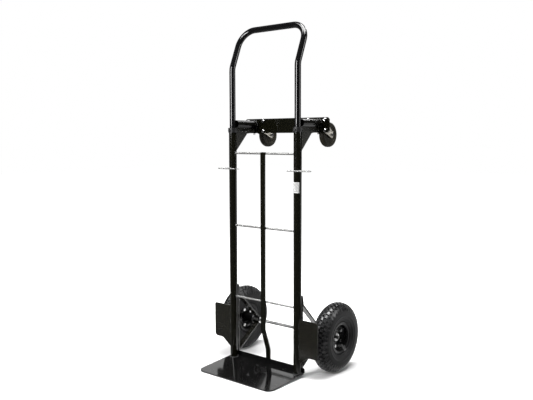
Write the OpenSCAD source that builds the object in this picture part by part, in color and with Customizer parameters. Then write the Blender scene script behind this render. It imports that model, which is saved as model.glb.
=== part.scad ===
// Two-in-one hand truck: upright two-wheel truck that lies down as a four-wheel cart.
// Units are millimetres. Z is up, the load side faces -Y, the truck's right is +X.
// The origin is on the floor at the middle of the overall width and depth.
// Sizes along Y below are given from the centre plane of the rails.

/* [Rails and rungs] */
// Outside diameter of each frame rail
rail_d = 30; // [24:0.5:38]
// Distance from the middle of the truck to the centre of a rail
rail_x = 159; // [120:1:220]
// Height of the open top of the rails
rail_top = 928; // [800:1:1100]
// Diameter of the steel rungs
rung_d = 8; // [6:0.5:14]
// Height of the top rung
top_rung_z = 832; // [700:1:900]
// Height of the middle rung
middle_rung_z = 548; // [400:1:650]
// Height of the lower rung
lower_rung_z = 262; // [200:1:350]

/* [Handle] */
// Outside diameter of the handle tube
handle_d = 23.4; // [18:0.1:28]
// Wall of the handle tube
handle_wall = 2; // [1.2:0.1:3]
// Gap all round between handle leg and rail bore
handle_clearance = 0.4; // [0.3:0.05:1]
// Height of the foot of each handle leg inside the rail
handle_foot_z = 756; // [700:1:850]
// Height where the legs begin to lean back
handle_bend_z = 1149; // [1000:1:1250]
// Lean of the upper handle towards the rear, degrees
handle_lean = 22; // [0:1:40]
// Centreline radius of the lean bend
handle_lean_r = 60; // [30:1:100]
// Straight length between the lean bend and the top corner bend
handle_lean_run = 81; // [20:1:200]
// Centreline radius of the two top corners
handle_corner_r = 65; // [30:1:100]

/* [Lock pins] */
// Diameter of the spring wire lock pins
pin_d = 5; // [4:0.1:8]
// Height of the lock pins
pin_z = 771; // [720:1:860]
// Gap all round between pin and the hole in the rail
pin_clearance = 0.4; // [0.3:0.05:1]
// Reach of the wire loop outward from the rail centre
pin_reach = 66; // [40:1:90]
// Length of pin inward from the rail centre
pin_inset = 33; // [20:1:60]

/* [Toe plate] */
// Width of the toe plate
toe_w = 357; // [250:1:500]
// Distance from the rail centres forward to the front edge
toe_reach = 187.5; // [120:0.5:300]
// Sheet thickness of the toe plate
toe_t = 4.5; // [3:0.1:8]
// Downward slope of the toe plate towards its front edge, degrees
toe_tilt = 3; // [0:0.5:6]
// Height of the top of the turned-up rear flange
toe_flange_top = 33; // [25:1:80]
// Corner radius at the front of the toe plate
toe_corner_r = 28; // [5:1:60]
// Corner radius of the rear flange
flange_corner_r = 10; // [2:1:15]

/* [Centre strut] */
// Width of the flat centre strut
strut_w = 21; // [12:1:40]
// Thickness of the flat centre strut
strut_t = 6; // [3:0.5:10]
// Height where the strut starts to kick back
strut_kick_top = 152; // [90:1:220]
// Height where the kick ends behind the flange
strut_kick_end = 66; // [40:1:85]

/* [Wheel guards] */
// Distance from the middle of the truck to the outer edge of a guard
guard_x = 256; // [200:1:320]
// Sheet thickness of the guards
guard_t = 3; // [2:0.1:6]
// Depth position of the guard centre plane
guard_y = -6.5; // [-12:0.5:8]
// Height of the guard top edge
guard_top = 222; // [180:1:280]
// Height of the guard bottom edge
guard_bottom = 84; // [60:1:120]

/* [Axle and brackets] */
// Diameter of the main axle
axle_d = 12.5; // [10:0.5:18]
// Distance of the axle behind the rail centres
axle_y = 145; // [100:1:200]
// Half length of the axle
axle_half = 246; // [215:1:300]
// Width of the bent bracket strap
bracket_w = 24; // [15:1:30]
// Thickness of the bent bracket strap
bracket_t = 5; // [3:0.5:8]
// Height of the bracket top
bracket_top = 306; // [250:1:360]
// Height of the upper bend of the bracket
bracket_bend_z = 272; // [230:1:300]

/* [Caster bar] */
// Half length of the caster bar
bar_half = 206.5; // [180:0.5:260]
// Height of the caster bar plate
bar_h = 57.5; // [40:0.5:90]
// Height of the middle of the bar
bar_z = 938.8; // [900:0.1:1000]
// Distance of the bar front face behind the rail centres
bar_y = 131; // [90:1:180]
// Thickness of the bar
bar_t = 5; // [3:0.5:10]
// Clipped corner of the bar
bar_clip = 7; // [0:0.5:20]
// Height of the cart-mode handle sockets
socket_z = 945.5; // [935:0.5:980]
// Outside diameter of the handle sockets
socket_d = 30; // [26:0.5:36]
// Thickness of the gusset plates
gusset_t = 5; // [3:0.5:8]
// Height of the lower tip of the gussets
gusset_tip = 838; // [780:1:880]

/* [Main wheels] */
// Distance from the middle of the truck to the wheel centre plane
wheel_x = 232; // [200:0.5:280]
// Outside diameter of the tyre
tyre_d = 266; // [200:1:330]
// Width of the tyre
tyre_w = 72; // [60:1:90]
// Outside diameter of the rim lips
rim_d = 122; // [100:1:160]
// Distance from the wheel centre plane to the outer edge of a rim lip
rim_half = 27; // [22:0.5:32]
// Sheet thickness of the rim halves
rim_t = 2.2; // [1.5:0.1:4]
// Outside diameter of the hub tube
hub_d = 41; // [36:0.5:50]
// Outside diameter of the wheel bearings
bearing_d = 35; // [28:0.5:40]
// Width of the wheel bearings
bearing_w = 11; // [8:0.5:15]
// Running gap all round between bearing bore and axle
axle_clearance = 0.04; // [0.01:0.01:0.1]
// Outside radius of the inner tube's section
tube_r = 26; // [20:0.5:30]
// Number of tread pitches round the tyre
treads = 22; // [12:1:30]
// Depth of the tread grooves
tread_depth = 3.5; // [2:0.5:5]
// Offset of the valve stem outward from the wheel centre plane
stem_x = 7; // [0:0.5:13]
// Diameter of the thick lower part of the valve stem
stem_d = 10; // [8:0.5:12]
// Gap between the valve stem and the tyre beads and rim hole round it
stem_gap = 0.5; // [0.3:0.1:1]
// Number of rim bolts
rim_bolts = 5; // [3:1:6]
// Radius of the rim bolt circle
rim_bolt_r = 34; // [30:0.5:38]
// Shank diameter of the rim bolts
rim_bolt_d = 7; // [5:0.5:10]

/* [Casters] */
// Distance from the middle of the truck to the swivel centre
caster_x = 150; // [120:1:200]
// Width of the caster mounting plate
caster_plate_w = 94; // [70:1:110]
// Height of the caster mounting plate
caster_plate_h = 56; // [50:1:80]
// Thickness of the caster mounting plate
caster_plate_t = 3; // [2:0.1:5]
// Spacing of the plate bolts across the bar
caster_bolt_dx = 80; // [60:1:90]
// Spacing of the plate bolts up the bar
caster_bolt_dz = 40; // [30:1:60]
// Diameter of the caster plate bolts
caster_bolt_d = 8; // [6:0.5:10]
// Diameter of the caster wheel
caster_d = 96; // [75:1:130]
// Width of the caster wheel
caster_w = 27; // [20:1:40]
// Trail of the caster wheel below the swivel centre
caster_trail = 36; // [20:1:50]
// Distance from the plate front face to the caster wheel axle
caster_drop = 71; // [60:1:100]
// Thickness of the fork sheet
fork_t = 3; // [2:0.1:5]
// Gap between wheel and fork leg
fork_gap = 2; // [1:0.1:4]
// Diameter of the kingpin
kingpin_d = 12; // [8:0.5:16]
// Running gap all round the kingpin
kingpin_clearance = 0.06; // [0.01:0.01:0.1]
// Diameter of the swivel balls
ball_d = 6; // [4:0.5:8]
// Radius of the ball circle
ball_r = 20; // [14:0.5:24]
// Number of balls in a swivel race
balls = 14; // [8:1:20]
// Diameter of the caster axle bolt
caster_axle_d = 8; // [6:0.5:12]

/* [Small parts] */
// Outside diameter of the collars on the rail tops
collar_d = 35; // [32:0.5:42]
// Height of the rail collars
collar_h = 18; // [10:1:30]
// Blank label height
label_h = 39; // [20:1:80]
// Height of the label bottom edge
label_z = 691; // [600:1:750]
// Half angle the label wraps round the rail
label_half_angle = 60; // [30:1:80]

/* [Hidden] */
$fn = 64;
rail_r = rail_d / 2;
rail_bore = handle_d + 2 * handle_clearance;
slope = tan(toe_tilt);
heel_front = rail_r + 0.6;
heel_back = heel_front + toe_t;
heel_in_r = 1.5;
heel_out_r = heel_in_r + toe_t;
heel_cy = heel_back - heel_out_r;
heel_cz = (heel_cy + toe_reach) * slope + heel_out_r / cos(toe_tilt);
weld_ledge = (toe_reach - rail_r) * slope + toe_t / cos(toe_tilt) - 0.5;
tyre_r = tyre_d / 2;
crown_t = 11.5;
tube_gap = 0.5;
axle_z = tyre_r;
bar_back = bar_y + bar_t;
plate_back = bar_back + caster_plate_t;
race_gap = 5.6;
race_face = plate_back + 3;
crown_face = race_face + race_gap;
crown_back = crown_face + fork_t;
caster_axle_y = bar_back + caster_drop;
caster_axle_z = bar_z - caster_trail;
leg_in = caster_w / 2 + fork_gap;
leg_out = leg_in + fork_t;
hub_in = wheel_x - rail_x - bracket_w / 2 - 4.4;
hub_out = 3;
bolt_turn = 18;
stem_turn = bolt_turn - 180 / rim_bolts;
pin_bend = 10.6;
bend_thinning = 0.1;
bracket_foot = toe_flange_top + bracket_t + 2;
thread_gap = 0.1;
pin_arm_y = -2 * pin_bend;
eps = 0.01;
rail_plane_y = -(axle_y + tyre_r - toe_reach) / 2;

// ---------- shared shapes ----------

// Mirror a right-hand piece to the left when side is -1
module sided(side) {
  if (side < 0)
    mirror([1, 0, 0]) children();
  else
    children();
}

// Cylinder along +X from x0 to x1
module xcyl(d, x0, x1, y = 0, z = 0) {
  translate([x0, y, z])
    rotate([0, 90, 0])
      cylinder(d = d, h = x1 - x0);
}

// Cylinder along +Y from y0 to y1
module ycyl(d, y0, y1, x = 0, z = 0) {
  translate([x, y0, z])
    rotate([-90, 0, 0])
      cylinder(d = d, h = y1 - y0);
}

// Hexagonal prism along +Y
module yhex(flats, y0, y1, x = 0, z = 0) {
  translate([x, y0, z])
    rotate([-90, 0, 0])
      cylinder(d = flats / cos(30), h = y1 - y0, $fn = 6);
}

// Hexagonal prism along +X
module xhex(flats, x0, x1, y = 0, z = 0) {
  translate([x0, y, z])
    rotate([0, 90, 0])
      cylinder(d = flats / cos(30), h = x1 - x0, $fn = 6);
}

// Rectangle with round corners, centred
module round_rect(w, h, r) {
  square([w - 2 * r, h], center = true);
  square([w, h - 2 * r], center = true);
  for (sx = [-1, 1], sy = [-1, 1])
    translate([sx * (w / 2 - r), sy * (h / 2 - r)])
      circle(r);
}

// Pie slice from angle a0 to a1, less than 180 degrees, long side l
module pie(a0, a1, l) {
  am = (a0 + a1) / 2;
  far = l / cos((a1 - a0) / 2);
  polygon([
    [0, 0],
    [l * cos(a0), l * sin(a0)],
    [far * cos(am), far * sin(am)],
    [l * cos(a1), l * sin(a1)],
  ]);
}

// Points along an arc from angle a0 to a1
function arc(c, r, a0, a1, n = 10) = [
  for (i = [0:n])
    let (a = a0 + (a1 - a0) * i / n)
      [c[0] + r * cos(a), c[1] + r * sin(a)]
];

// Flat band bent round an arc
module arc_band(r_in, r_out, a0, a1) {
  intersection() {
    difference() {
      circle(r_out);
      circle(r_in);
    }
    pie(a0, a1, r_out * 1.5);
  }
}

// Put a Y-Z drawing into space as a slab from x0 to x1
module yz_slab(x0, x1) {
  translate([x0, 0, 0])
    rotate([90, 0, 90])
      linear_extrude(x1 - x0)
        children();
}

// ---------- frame ----------

// Cross section of the bent toe plate
module toe_section() {
  front = [-toe_reach, 0];
  up = [-toe_t * sin(toe_tilt), toe_t * cos(toe_tilt)];
  polygon(concat(
    [front + up, front],
    arc([heel_cy, heel_cz], heel_out_r, toe_tilt - 90, 0),
    [[heel_back, toe_flange_top], [heel_front, toe_flange_top]],
    arc([heel_cy, heel_cz], heel_in_r, 0, toe_tilt - 90)
  ));
}

// Toe plate; the rails come through it and are welded all round
module toe_plate() {
  color("#0c0c0d")
    difference() {
      toe_sheet();
      for (s = [-1, 1])
        translate([s * rail_x, 0, 0]) {
          cylinder(d = rail_d, h = 2 * toe_flange_top);
          translate([0, 0, weld_ledge])
            cylinder(d = rail_d + 1.2, h = 2 * toe_flange_top);
        }
    }
}

// Bent sheet of the toe plate before the rail holes
module toe_sheet() {
  intersection() {
    yz_slab(-toe_w / 2, toe_w / 2)
      toe_section();
    translate([0, (heel_back - toe_reach) / 2 + 2 * toe_corner_r, -1])
      linear_extrude(toe_flange_top + 2)
        round_rect(toe_w, heel_back + toe_reach + 4 * toe_corner_r, toe_corner_r);
    translate([0, heel_back + 1, -toe_flange_top])
      rotate([90, 0, 0])
        linear_extrude(toe_reach + heel_back + 2)
          round_rect(toe_w, 4 * toe_flange_top, flange_corner_r);
  }
}

// One frame rail at the right side
module rail() {
  color("#0c0c0d")
    difference() {
      translate([rail_x, 0, 1])
        cylinder(d = rail_d, h = rail_top - 1);
      translate([rail_x, 0, 0])
        cylinder(d = rail_bore, h = rail_top + 1);
      yz_slab(rail_x - rail_d, rail_x + rail_d)
        polygon([
          [-rail_d, -rail_d], [rail_d, -rail_d], [rail_d, (toe_reach + rail_d) * slope],
          [-rail_d, (toe_reach - rail_d) * slope],
        ]);
      for (z = [top_rung_z, middle_rung_z, lower_rung_z])
        xcyl(rung_d, rail_x - rail_d, rail_x - rail_bore / 2 + 1, 0, z);
      xcyl(pin_d + 2 * pin_clearance, rail_x - rail_d, rail_x + rail_d, 0, pin_z);
      ycyl(5, -rail_d, -rail_bore / 2 + 1, rail_x, rail_top - 9);
    }
}

module rung(z) {
  x = rail_x - rail_bore / 2 - 0.4;
  color("#c9cbcc")
    xcyl(rung_d, -x, x, 0, z);
}

// Flat bar welded to the fronts of the rungs, kicked back behind the flange
module centre_strut() {
  front = -rung_d / 2 - strut_t;
  back = heel_back;
  a = atan2(strut_kick_top - strut_kick_end, back - front);
  s = strut_t * tan((90 - a) / 2);
  color("#0c0c0d")
    yz_slab(-strut_w / 2, strut_w / 2)
      polygon([
        [front, top_rung_z + rung_d / 2],
        [front, strut_kick_top],
        [back, strut_kick_end],
        [back, 16],
        [back + strut_t, 16],
        [back + strut_t, strut_kick_end + s],
        [front + strut_t, strut_kick_top + s],
        [front + strut_t, top_rung_z + rung_d / 2],
      ]);
}

// Sheet guard in front of the right wheel
module wheel_guard() {
  r1 = 7;
  r2 = 14;
  x0 = rail_x + 6;
  x1 = rail_x + rail_r - 1;
  color("#0c0c0d")
    difference() {
      translate([0, guard_y + guard_t / 2, 0])
        rotate([90, 0, 0])
          linear_extrude(guard_t)
            polygon(concat(
              [[x0, 55], [x1, 55], [guard_x - 43, guard_bottom]],
              arc([guard_x - r2, guard_bottom + r2], r2, -90, 0),
              arc([guard_x - r1, guard_top - r1], r1, 0, 90),
              [[x0, guard_top]]
            ));
      translate([rail_x, 0, 0])
        cylinder(d = rail_d, h = guard_top + rail_d);
    }
}

// Angle of the tangent point on a circle of radius r about c, seen from p, side s
function tangent_angle(c, r, p, s) =
  let (d = p - c)
    atan2(d[1], d[0]) + s * acos(r / norm(d));

// Strap bent into a triangle: up the back of the rail and round the axle
module axle_bracket() {
  r_in = axle_d / 2;
  r_out = r_in + bracket_t;
  c = [axle_y, axle_z];
  y1 = rail_r + bracket_t;
  top = [y1, bracket_top];
  knee = [y1 + 5, bracket_bend_z];
  foot = [y1, toe_flange_top];
  knee_in = [y1, bracket_bend_z - 4];
  foot_in = [y1, bracket_foot];
  color("#121212")
    difference() {
      yz_slab(rail_x - bracket_w / 2, rail_x + bracket_w / 2)
        difference() {
          polygon(concat(
            [[rail_r - 1, foot[1]], [rail_r - 1, bracket_top], top, knee],
            arc(
              c, r_out, tangent_angle(c, r_out, knee, -1),
              tangent_angle(c, r_out, foot, 1), 24
            ),
            [foot]
          ));
          polygon(concat(
            [foot_in, knee_in],
            arc(
              c, r_in, tangent_angle(c, r_in, knee_in, -1),
              tangent_angle(c, r_in, foot_in, 1), 24
            )
          ));
        }
      translate([rail_x, 0, 0])
        cylinder(d = rail_d, h = bracket_top + rail_d);
    }
}

// Triangular plate under the handle socket
module gusset() {
  color("#101011")
    difference() {
      yz_slab(rail_x - gusset_t / 2, rail_x + gusset_t / 2)
        polygon([
          [rail_r - 2, gusset_tip],
          [rail_r + 1.5, gusset_tip],
          [84, bar_z - bar_h / 2 - 2],
          [bar_y, bar_z - bar_h / 2 + 3],
          [bar_y, socket_z - 6],
          [rail_r - 2, socket_z - 6],
        ]);
      translate([rail_x, 0, gusset_tip - rail_d])
        cylinder(d = rail_d, h = rail_top);
      translate([rail_x, 0, rail_top + 2 - collar_h])
        cylinder(d = collar_d, h = 40);
      ycyl(socket_d, collar_d / 2 + 1, bar_y + 1, rail_x, socket_z);
      translate([rail_x - 10, rail_r - 3, socket_z - 13])
        cube([20, collar_d / 2 - rail_r + 4, 30]);
    }
}

module handle_socket() {
  color("#0c0c0d")
    difference() {
      ycyl(socket_d, collar_d / 2 + 1, bar_y, rail_x, socket_z);
      ycyl(rail_bore, 0, bar_y + 1, rail_x, socket_z);
    }
}

module bar_outline() {
  w = bar_half;
  h = bar_h / 2;
  c = bar_clip;
  polygon([
    [-w + c, -h], [w - c, -h], [w, -h + c], [w, h - c],
    [w - c, h], [-w + c, h], [-w, h - c], [-w, -h + c],
  ]);
}

// Centres of the eight caster plate bolts
function bolt_spots() = [
  for (s = [-1, 1], a = [-1, 1], b = [-1, 1])
    [s * caster_x + a * caster_bolt_dx / 2, bar_z + b * caster_bolt_dz / 2]
];

module caster_bar() {
  color("#0c0c0d")
    difference() {
      translate([0, bar_back, bar_z])
        rotate([90, 0, 0])
          linear_extrude(bar_t)
            bar_outline();
      for (p = bolt_spots())
        ycyl(caster_bolt_d, bar_y - 1, bar_back + 1, p[0], p[1]);
    }
}

module axle() {
  color("#8f9193")
    difference() {
      xcyl(axle_d, -axle_half, axle_half, axle_y, axle_z);
      for (s = [-1, 1])
        translate([s * (axle_half - 4.5), axle_y, axle_z - 20])
          cylinder(d = 3.4, h = 40);
    }
}

module axle_collars() {
  x = rail_x - bracket_w / 2;
  color("#c9cbcc")
    for (s = [-1, 1])
      sided(s)
        difference() {
          xcyl(25, x - 6, x, axle_y, axle_z);
          xcyl(axle_d, x - 7, x + 1, axle_y, axle_z);
        }
}

module washer(x0, x1) {
  difference() {
    xcyl(29, x0, x1, axle_y, axle_z);
    xcyl(axle_d, x0 - 1, x1 + 1, axle_y, axle_z);
  }
}

module wheel_washers() {
  xi = rail_x + bracket_w / 2;
  xo = wheel_x + hub_out;
  color("#d5d6d7")
    for (s = [-1, 1])
      sided(s) {
        washer(xi, xi + 4);
        washer(xo + 0.4, xo + 3.2);
      }
}

module cotter_pins() {
  color("#c9cbcc")
    for (s = [-1, 1])
      translate([s * (axle_half - 4.5), axle_y, axle_z]) {
        translate([0, 0, -13])
          cylinder(d = 3.2, h = 24);
        translate([0, 0, 13])
          rotate([0, 90, 0])
            rotate_extrude()
              translate([2.6, 0])
                circle(d = 1.8);
        translate([0, 0, 11])
          cylinder(d = 3.2, h = 0.6);
      }
}

// Sleeve with a lip, clamped on the top of a rail
module rail_collar() {
  color("#161616")
    difference() {
      translate([rail_x, 0, rail_top + 2 - collar_h])
        cylinder(d = collar_d, h = collar_h);
      translate([rail_x, 0, rail_top - 2 * collar_h])
        cylinder(d = rail_d, h = 2 * collar_h);
      translate([rail_x, 0, rail_top - 1])
        cylinder(d = rail_bore, h = 10);
      ycyl(5, -collar_d, 0, rail_x, rail_top - 9);
    }
}

module collar_screws() {
  color("#d5d6d7")
    for (s = [-1, 1])
      sided(s) {
        ycyl(5, -collar_d / 2 - 1, -rail_bore / 2 - 0.3, rail_x, rail_top - 9);
        yhex(9, -collar_d / 2 - 4, -collar_d / 2 - 0.02, rail_x, rail_top - 9);
      }
}

// Thin blank sticker wrapped on the front of the right rail
module blank_label() {
  color("#f2f2f0")
    translate([rail_x, 0, label_z])
      linear_extrude(label_h)
        rotate(-90)
          arc_band(rail_r + 0.06, rail_r + 0.31, -label_half_angle, label_half_angle);
}

// ---------- handle ----------

// Solid path of the whole handle, tube diameter d, extended by e at the feet
module handle_path(d, e) {
  lap = 0.4;
  for (s = [-1, 1])
    sided(s) {
      translate([rail_x, 0, handle_foot_z - e])
        cylinder(d = d, h = handle_bend_z - handle_foot_z + e + lap);
      translate([rail_x, handle_lean_r, handle_bend_z])
        rotate([90, 0, -90])
          rotate_extrude(angle = handle_lean)
            translate([handle_lean_r, 0])
              circle(d = d - bend_thinning);
    }
  translate([0, 0, handle_bend_z])
    translate([0, handle_lean_r * (1 - cos(handle_lean)), handle_lean_r * sin(handle_lean)])
      rotate([-handle_lean, 0, 0]) {
        for (s = [-1, 1])
          sided(s) {
            translate([rail_x, 0, -lap])
              cylinder(d = d, h = handle_lean_run + 2 * lap);
            translate([rail_x - handle_corner_r, 0, handle_lean_run])
              rotate([90, 0, 0])
                rotate_extrude(angle = 90)
                  translate([handle_corner_r, 0])
                    circle(d = d - bend_thinning);
          }
        x = rail_x - handle_corner_r + lap;
        xcyl(d, -x, x, 0, handle_lean_run + handle_corner_r);
      }
}

module handle_loop() {
  color("#0e0e0f")
    difference() {
      handle_path(handle_d, 0);
      handle_path(handle_d - 2 * handle_wall, 1);
      for (s = [-1, 1])
        sided(s) {
          w = pin_d + 2 * pin_clearance + 1;
          xcyl(w, rail_x - 20, rail_x + 20, 0, pin_z);
          translate([rail_x - 20, -w / 2, handle_foot_z - 1])
            cube([40, w, pin_z - handle_foot_z + 1]);
        }
    }
}

// Spring wire pin: straight leg through the rail, loop, arm across the front
module lock_pin() {
  x_tip = rail_x - pin_inset;
  x_bend = rail_x + pin_reach - pin_bend - pin_d / 2;
  color("#d5d6d7") {
    xcyl(pin_d, x_tip + 2, x_bend, 0, pin_z);
    translate([x_tip + 2, 0, pin_z])
      rotate([0, -90, 0])
        cylinder(d1 = pin_d, d2 = pin_d - 2, h = 2);
    translate([x_bend, -pin_bend, pin_z])
      rotate([0, 0, -90])
        rotate_extrude(angle = 180)
          translate([pin_bend, 0])
            circle(d = pin_d);
    xcyl(pin_d, x_tip + 14, x_bend, pin_arm_y, pin_z);
    translate([x_tip + 14, pin_arm_y - 14, pin_z])
      rotate([0, 0, 90])
        rotate_extrude(angle = 50)
          translate([14, 0])
            circle(d = pin_d);
  }
}

// ---------- main wheel, drawn with the axle along X at the right side ----------

// Spin a drawing of (radius, offset from the wheel centre plane) about the axle
module wheel_turn() {
  translate([wheel_x, axle_y, axle_z])
    rotate([0, 90, 0])
      rotate_extrude()
        children();
}

// Closed outline of the tyre's section, as (radius, offset) pairs
module tyre_section() {
  w = tyre_w / 2;
  r = tyre_r;
  g = tread_depth;
  lip = rim_d / 2;
  seat = lip - 11.5;
  bead = rim_half - 3.9;
  toe = stem_x + stem_d / 2 + stem_gap;
  half = [
    [seat, toe], [seat, bead - 3.6], [seat + 2.5, bead - 0.4],
    [lip - 1, bead], [lip + 2, bead + 2.2], [r - 60, w - 4], [r - 50, w - 0.8],
    [r - 41, w], [r - 33, w - 0.5], [r - 25.5, w - 2], [r - 18, w - 5],
    [r - 12, w - 9], [r - 7, w - 14], [r - 3.3, w - 20], [r - 0.9, w - 25.5],
    [r - 0.9 - g, w - 26], [r - 0.8 - g, w - 28.5], [r - 0.7, w - 29],
  ];
  bore = [
    [r - crown_t - 0.5, 7], [r - 15, 15], [r - 21, w - 13], [r - 31, w - 7.5],
    [r - 41, w - 6], [r - 51, w - 7.4], [r - 60, w - 12], [lip + 2, toe + 1.6],
  ];
  polygon(concat(
    half, [[r, 0]], other(back(half)),
    back(other(bore)), [[r - crown_t, 0]], bore
  ));
}

// The same points in reverse order
function back(p) = [for (i = [len(p) - 1:-1:0]) p[i]];

// The same points on the other side of the wheel centre plane
function other(p) = [for (q = p) [q[0], -q[1]]];

module tyre() {
  pitch = 360 / treads;
  color("#242424")
    difference() {
      wheel_turn()
        tyre_section();
      for (i = [0:treads - 1])
        translate([wheel_x, axle_y, axle_z])
          rotate([(i + 0.5) * pitch, 0, 0]) {
            tread_cuts();
            rotate([pitch / 2, 0, 0])
              mirror([1, 0, 0])
                shoulder_cut();
          }
    }
}

// Groove across one shoulder of the tyre
module shoulder_cut() {
  translate([tyre_w / 2 - 16, 0, tyre_r - 9])
    rotate([0, 57, 0])
      translate([-3, -3.5, 0])
        cube([31, 7, 14]);
}

// Slot across the centre rib and groove across the outer shoulder
module tread_cuts() {
  rotate([0, 0, 25])
    translate([-9, -1.6, tyre_r - tread_depth])
      cube([18, 3.2, 8]);
  shoulder_cut();
}

module inner_tube() {
  rc = tyre_r - crown_t - tube_gap - tube_r;
  stem_top = rc - sqrt(tube_r * tube_r - stem_x * stem_x) + 0.3;
  color("#1c1c1c") {
    wheel_turn()
      difference() {
        translate([rc, 0])
          circle(tube_r);
        translate([rc, 0])
          circle(tube_r - 2);
      }
    translate([wheel_x + stem_x, axle_y, axle_z])
      rotate([stem_turn, 0, 0]) {
        translate([0, 0, rim_d / 2 - 15])
          cylinder(d = stem_d, h = stem_top - rim_d / 2 + 15);
        translate([0, 0, rim_d / 2 - 35])
          cylinder(d = 6, h = 21);
      }
  }
}

// Outline of one pressed rim half on the +X side of the centre plane
module rim_profile() {
  t = rim_t;
  lip = rim_d / 2;
  seat = lip - 11.5;
  w = rim_half;
  polygon([
    [hub_d / 2, 0], [seat - 7.5, 0], [seat - 2.5, 5], [seat, 9], [seat, w - 7.5],
    [seat + 2.5, w - 4.3], [lip - 1, w - 3.9], [lip, w - 2], [lip, w], [lip - 2, w],
    [lip - 2.6, w - 1.9], [seat + 1.5, w - 2.2], [seat - t, w - 6.5], [seat - t, 10],
    [seat - 4.5, 6], [seat - 8.5, t], [hub_d / 2, t],
  ]);
}

module outer_rim() {
  color("#141414")
    difference() {
      wheel_turn()
        rim_profile();
      bolt_ring()
        xcyl(rim_bolt_d, -1, 5);
      translate([wheel_x + stem_x, axle_y, axle_z])
        rotate([stem_turn, 0, 0])
          translate([0, 0, rim_d / 2 - 21])
            cylinder(d = stem_d + 2 * stem_gap, h = 14);
      vent_ring()
        xcyl(9, -1, 5);
    }
}

module inner_rim() {
  color("#141414")
    difference() {
      wheel_turn()
        mirror([0, 1])
          rim_profile();
      bolt_ring()
        xcyl(rim_bolt_d, -5, 1);
      vent_ring()
        xcyl(9, -5, 1);
    }
}

// Repeat children on the bolt circle of the right wheel
module bolt_ring() {
  for (i = [0:rim_bolts - 1])
    translate([wheel_x, axle_y, axle_z])
      rotate([i * 360 / rim_bolts + bolt_turn, 0, 0])
        translate([0, 0, rim_bolt_r])
          children();
}

// Repeat children half way between the bolts
module vent_ring() {
  for (i = [0:rim_bolts - 1])
    translate([wheel_x, axle_y, axle_z])
      rotate([(i + 0.5) * 360 / rim_bolts + bolt_turn, 0, 0])
        translate([0, 0, rim_bolt_r])
          children();
}

module hub() {
  color("#1a1a1a")
    difference() {
      union() {
        xcyl(hub_d, wheel_x - hub_in, wheel_x + hub_out, axle_y, axle_z);
        xcyl(80, wheel_x - rim_t - 3.5, wheel_x - rim_t, axle_y, axle_z);
      }
      xcyl(24, wheel_x - hub_in - 1, wheel_x + hub_out + 1, axle_y, axle_z);
      xcyl(bearing_d, wheel_x - hub_in - 1, wheel_x - hub_in + bearing_w, axle_y, axle_z);
      xcyl(bearing_d, wheel_x + hub_out - bearing_w, wheel_x + hub_out + 1, axle_y, axle_z);
      bolt_ring()
        xcyl(rim_bolt_d, -20, 1);
      vent_ring()
        xcyl(9, -20, 1);
    }
}

// Ball bearing with its near face at x0
module bearing(x0) {
  rc = (axle_d + bearing_d) / 4;
  translate([x0, axle_y, axle_z])
    rotate([0, 90, 0]) {
      rotate_extrude()
        difference() {
          translate([rc + 2.4, 0])
            square([bearing_d / 2 - rc - 2.4, bearing_w]);
          translate([rc, bearing_w / 2])
            circle(3.2);
        }
      rotate_extrude()
        difference() {
          translate([axle_d / 2 + axle_clearance, 0])
            square([rc - 2.4 - axle_d / 2 - axle_clearance, bearing_w]);
          translate([rc, bearing_w / 2])
            circle(3.2);
        }
      for (i = [0:7])
        rotate([0, 0, i * 45])
          translate([rc, 0, bearing_w / 2])
            sphere(3.15);
    }
}

module bearings() {
  color("#b5b7b9") {
    bearing(wheel_x - hub_in);
    bearing(wheel_x + hub_out - bearing_w);
  }
}

module rim_bolt_set() {
  color("#c9cbcc")
    bolt_ring() {
      xcyl(rim_bolt_d, -rim_t - 12, rim_t + 0.1);
      xhex(12, rim_t, rim_t + 5);
      difference() {
        xhex(12, -rim_t - 9.5, -rim_t - 3.5);
        xcyl(rim_bolt_d + 2 * thread_gap, -rim_t - 10, -rim_t - 3);
      }
    }
}

// ---------- caster, drawn at the right side ----------

module caster_plate() {
  color("#b9bbbd")
    difference() {
      union() {
        translate([caster_x, plate_back, bar_z])
          rotate([90, 0, 0])
            linear_extrude(caster_plate_t)
              round_rect(caster_plate_w, caster_plate_h, 6);
        ycyl(52, plate_back - 0.5, race_face, caster_x, bar_z);
      }
      translate([caster_x, race_face + race_gap / 2, bar_z])
        rotate([-90, 0, 0])
          rotate_extrude()
            translate([ball_r, 0])
              circle(d = ball_d);
      ycyl(kingpin_d, bar_y, race_face + 1, caster_x, bar_z);
      for (a = [-1, 1], b = [-1, 1])
        ycyl(
          caster_bolt_d, bar_y, plate_back + 1,
          caster_x + a * caster_bolt_dx / 2, bar_z + b * caster_bolt_dz / 2
        );
    }
}

module caster_kingpin() {
  color("#a9abad") {
    ycyl(kingpin_d, bar_back, crown_back + 0.8, caster_x, bar_z);
    ycyl(21, crown_back + 0.8, crown_back + 4.2, caster_x, bar_z);
  }
}

module caster_balls() {
  color("#d0d2d4")
    for (i = [0:balls - 1])
      translate([caster_x, race_face + race_gap / 2, bar_z])
        rotate([0, i * 360 / balls, 0])
          translate([ball_r, 0, 0])
            sphere(d = ball_d);
}

// One side leg of the fork, drawn in Y-Z
module leg_outline() {
  polygon([
    [crown_face, bar_z + 20],
    [crown_face + 8, bar_z + 21],
    [caster_axle_y + 8, caster_axle_z + 9.5],
    [caster_axle_y - 2, caster_axle_z - 12.3],
    [crown_face + 6, bar_z - 25],
    [crown_face, bar_z - 25],
  ]);
  translate([caster_axle_y, caster_axle_z])
    circle(12.5);
}

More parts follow.
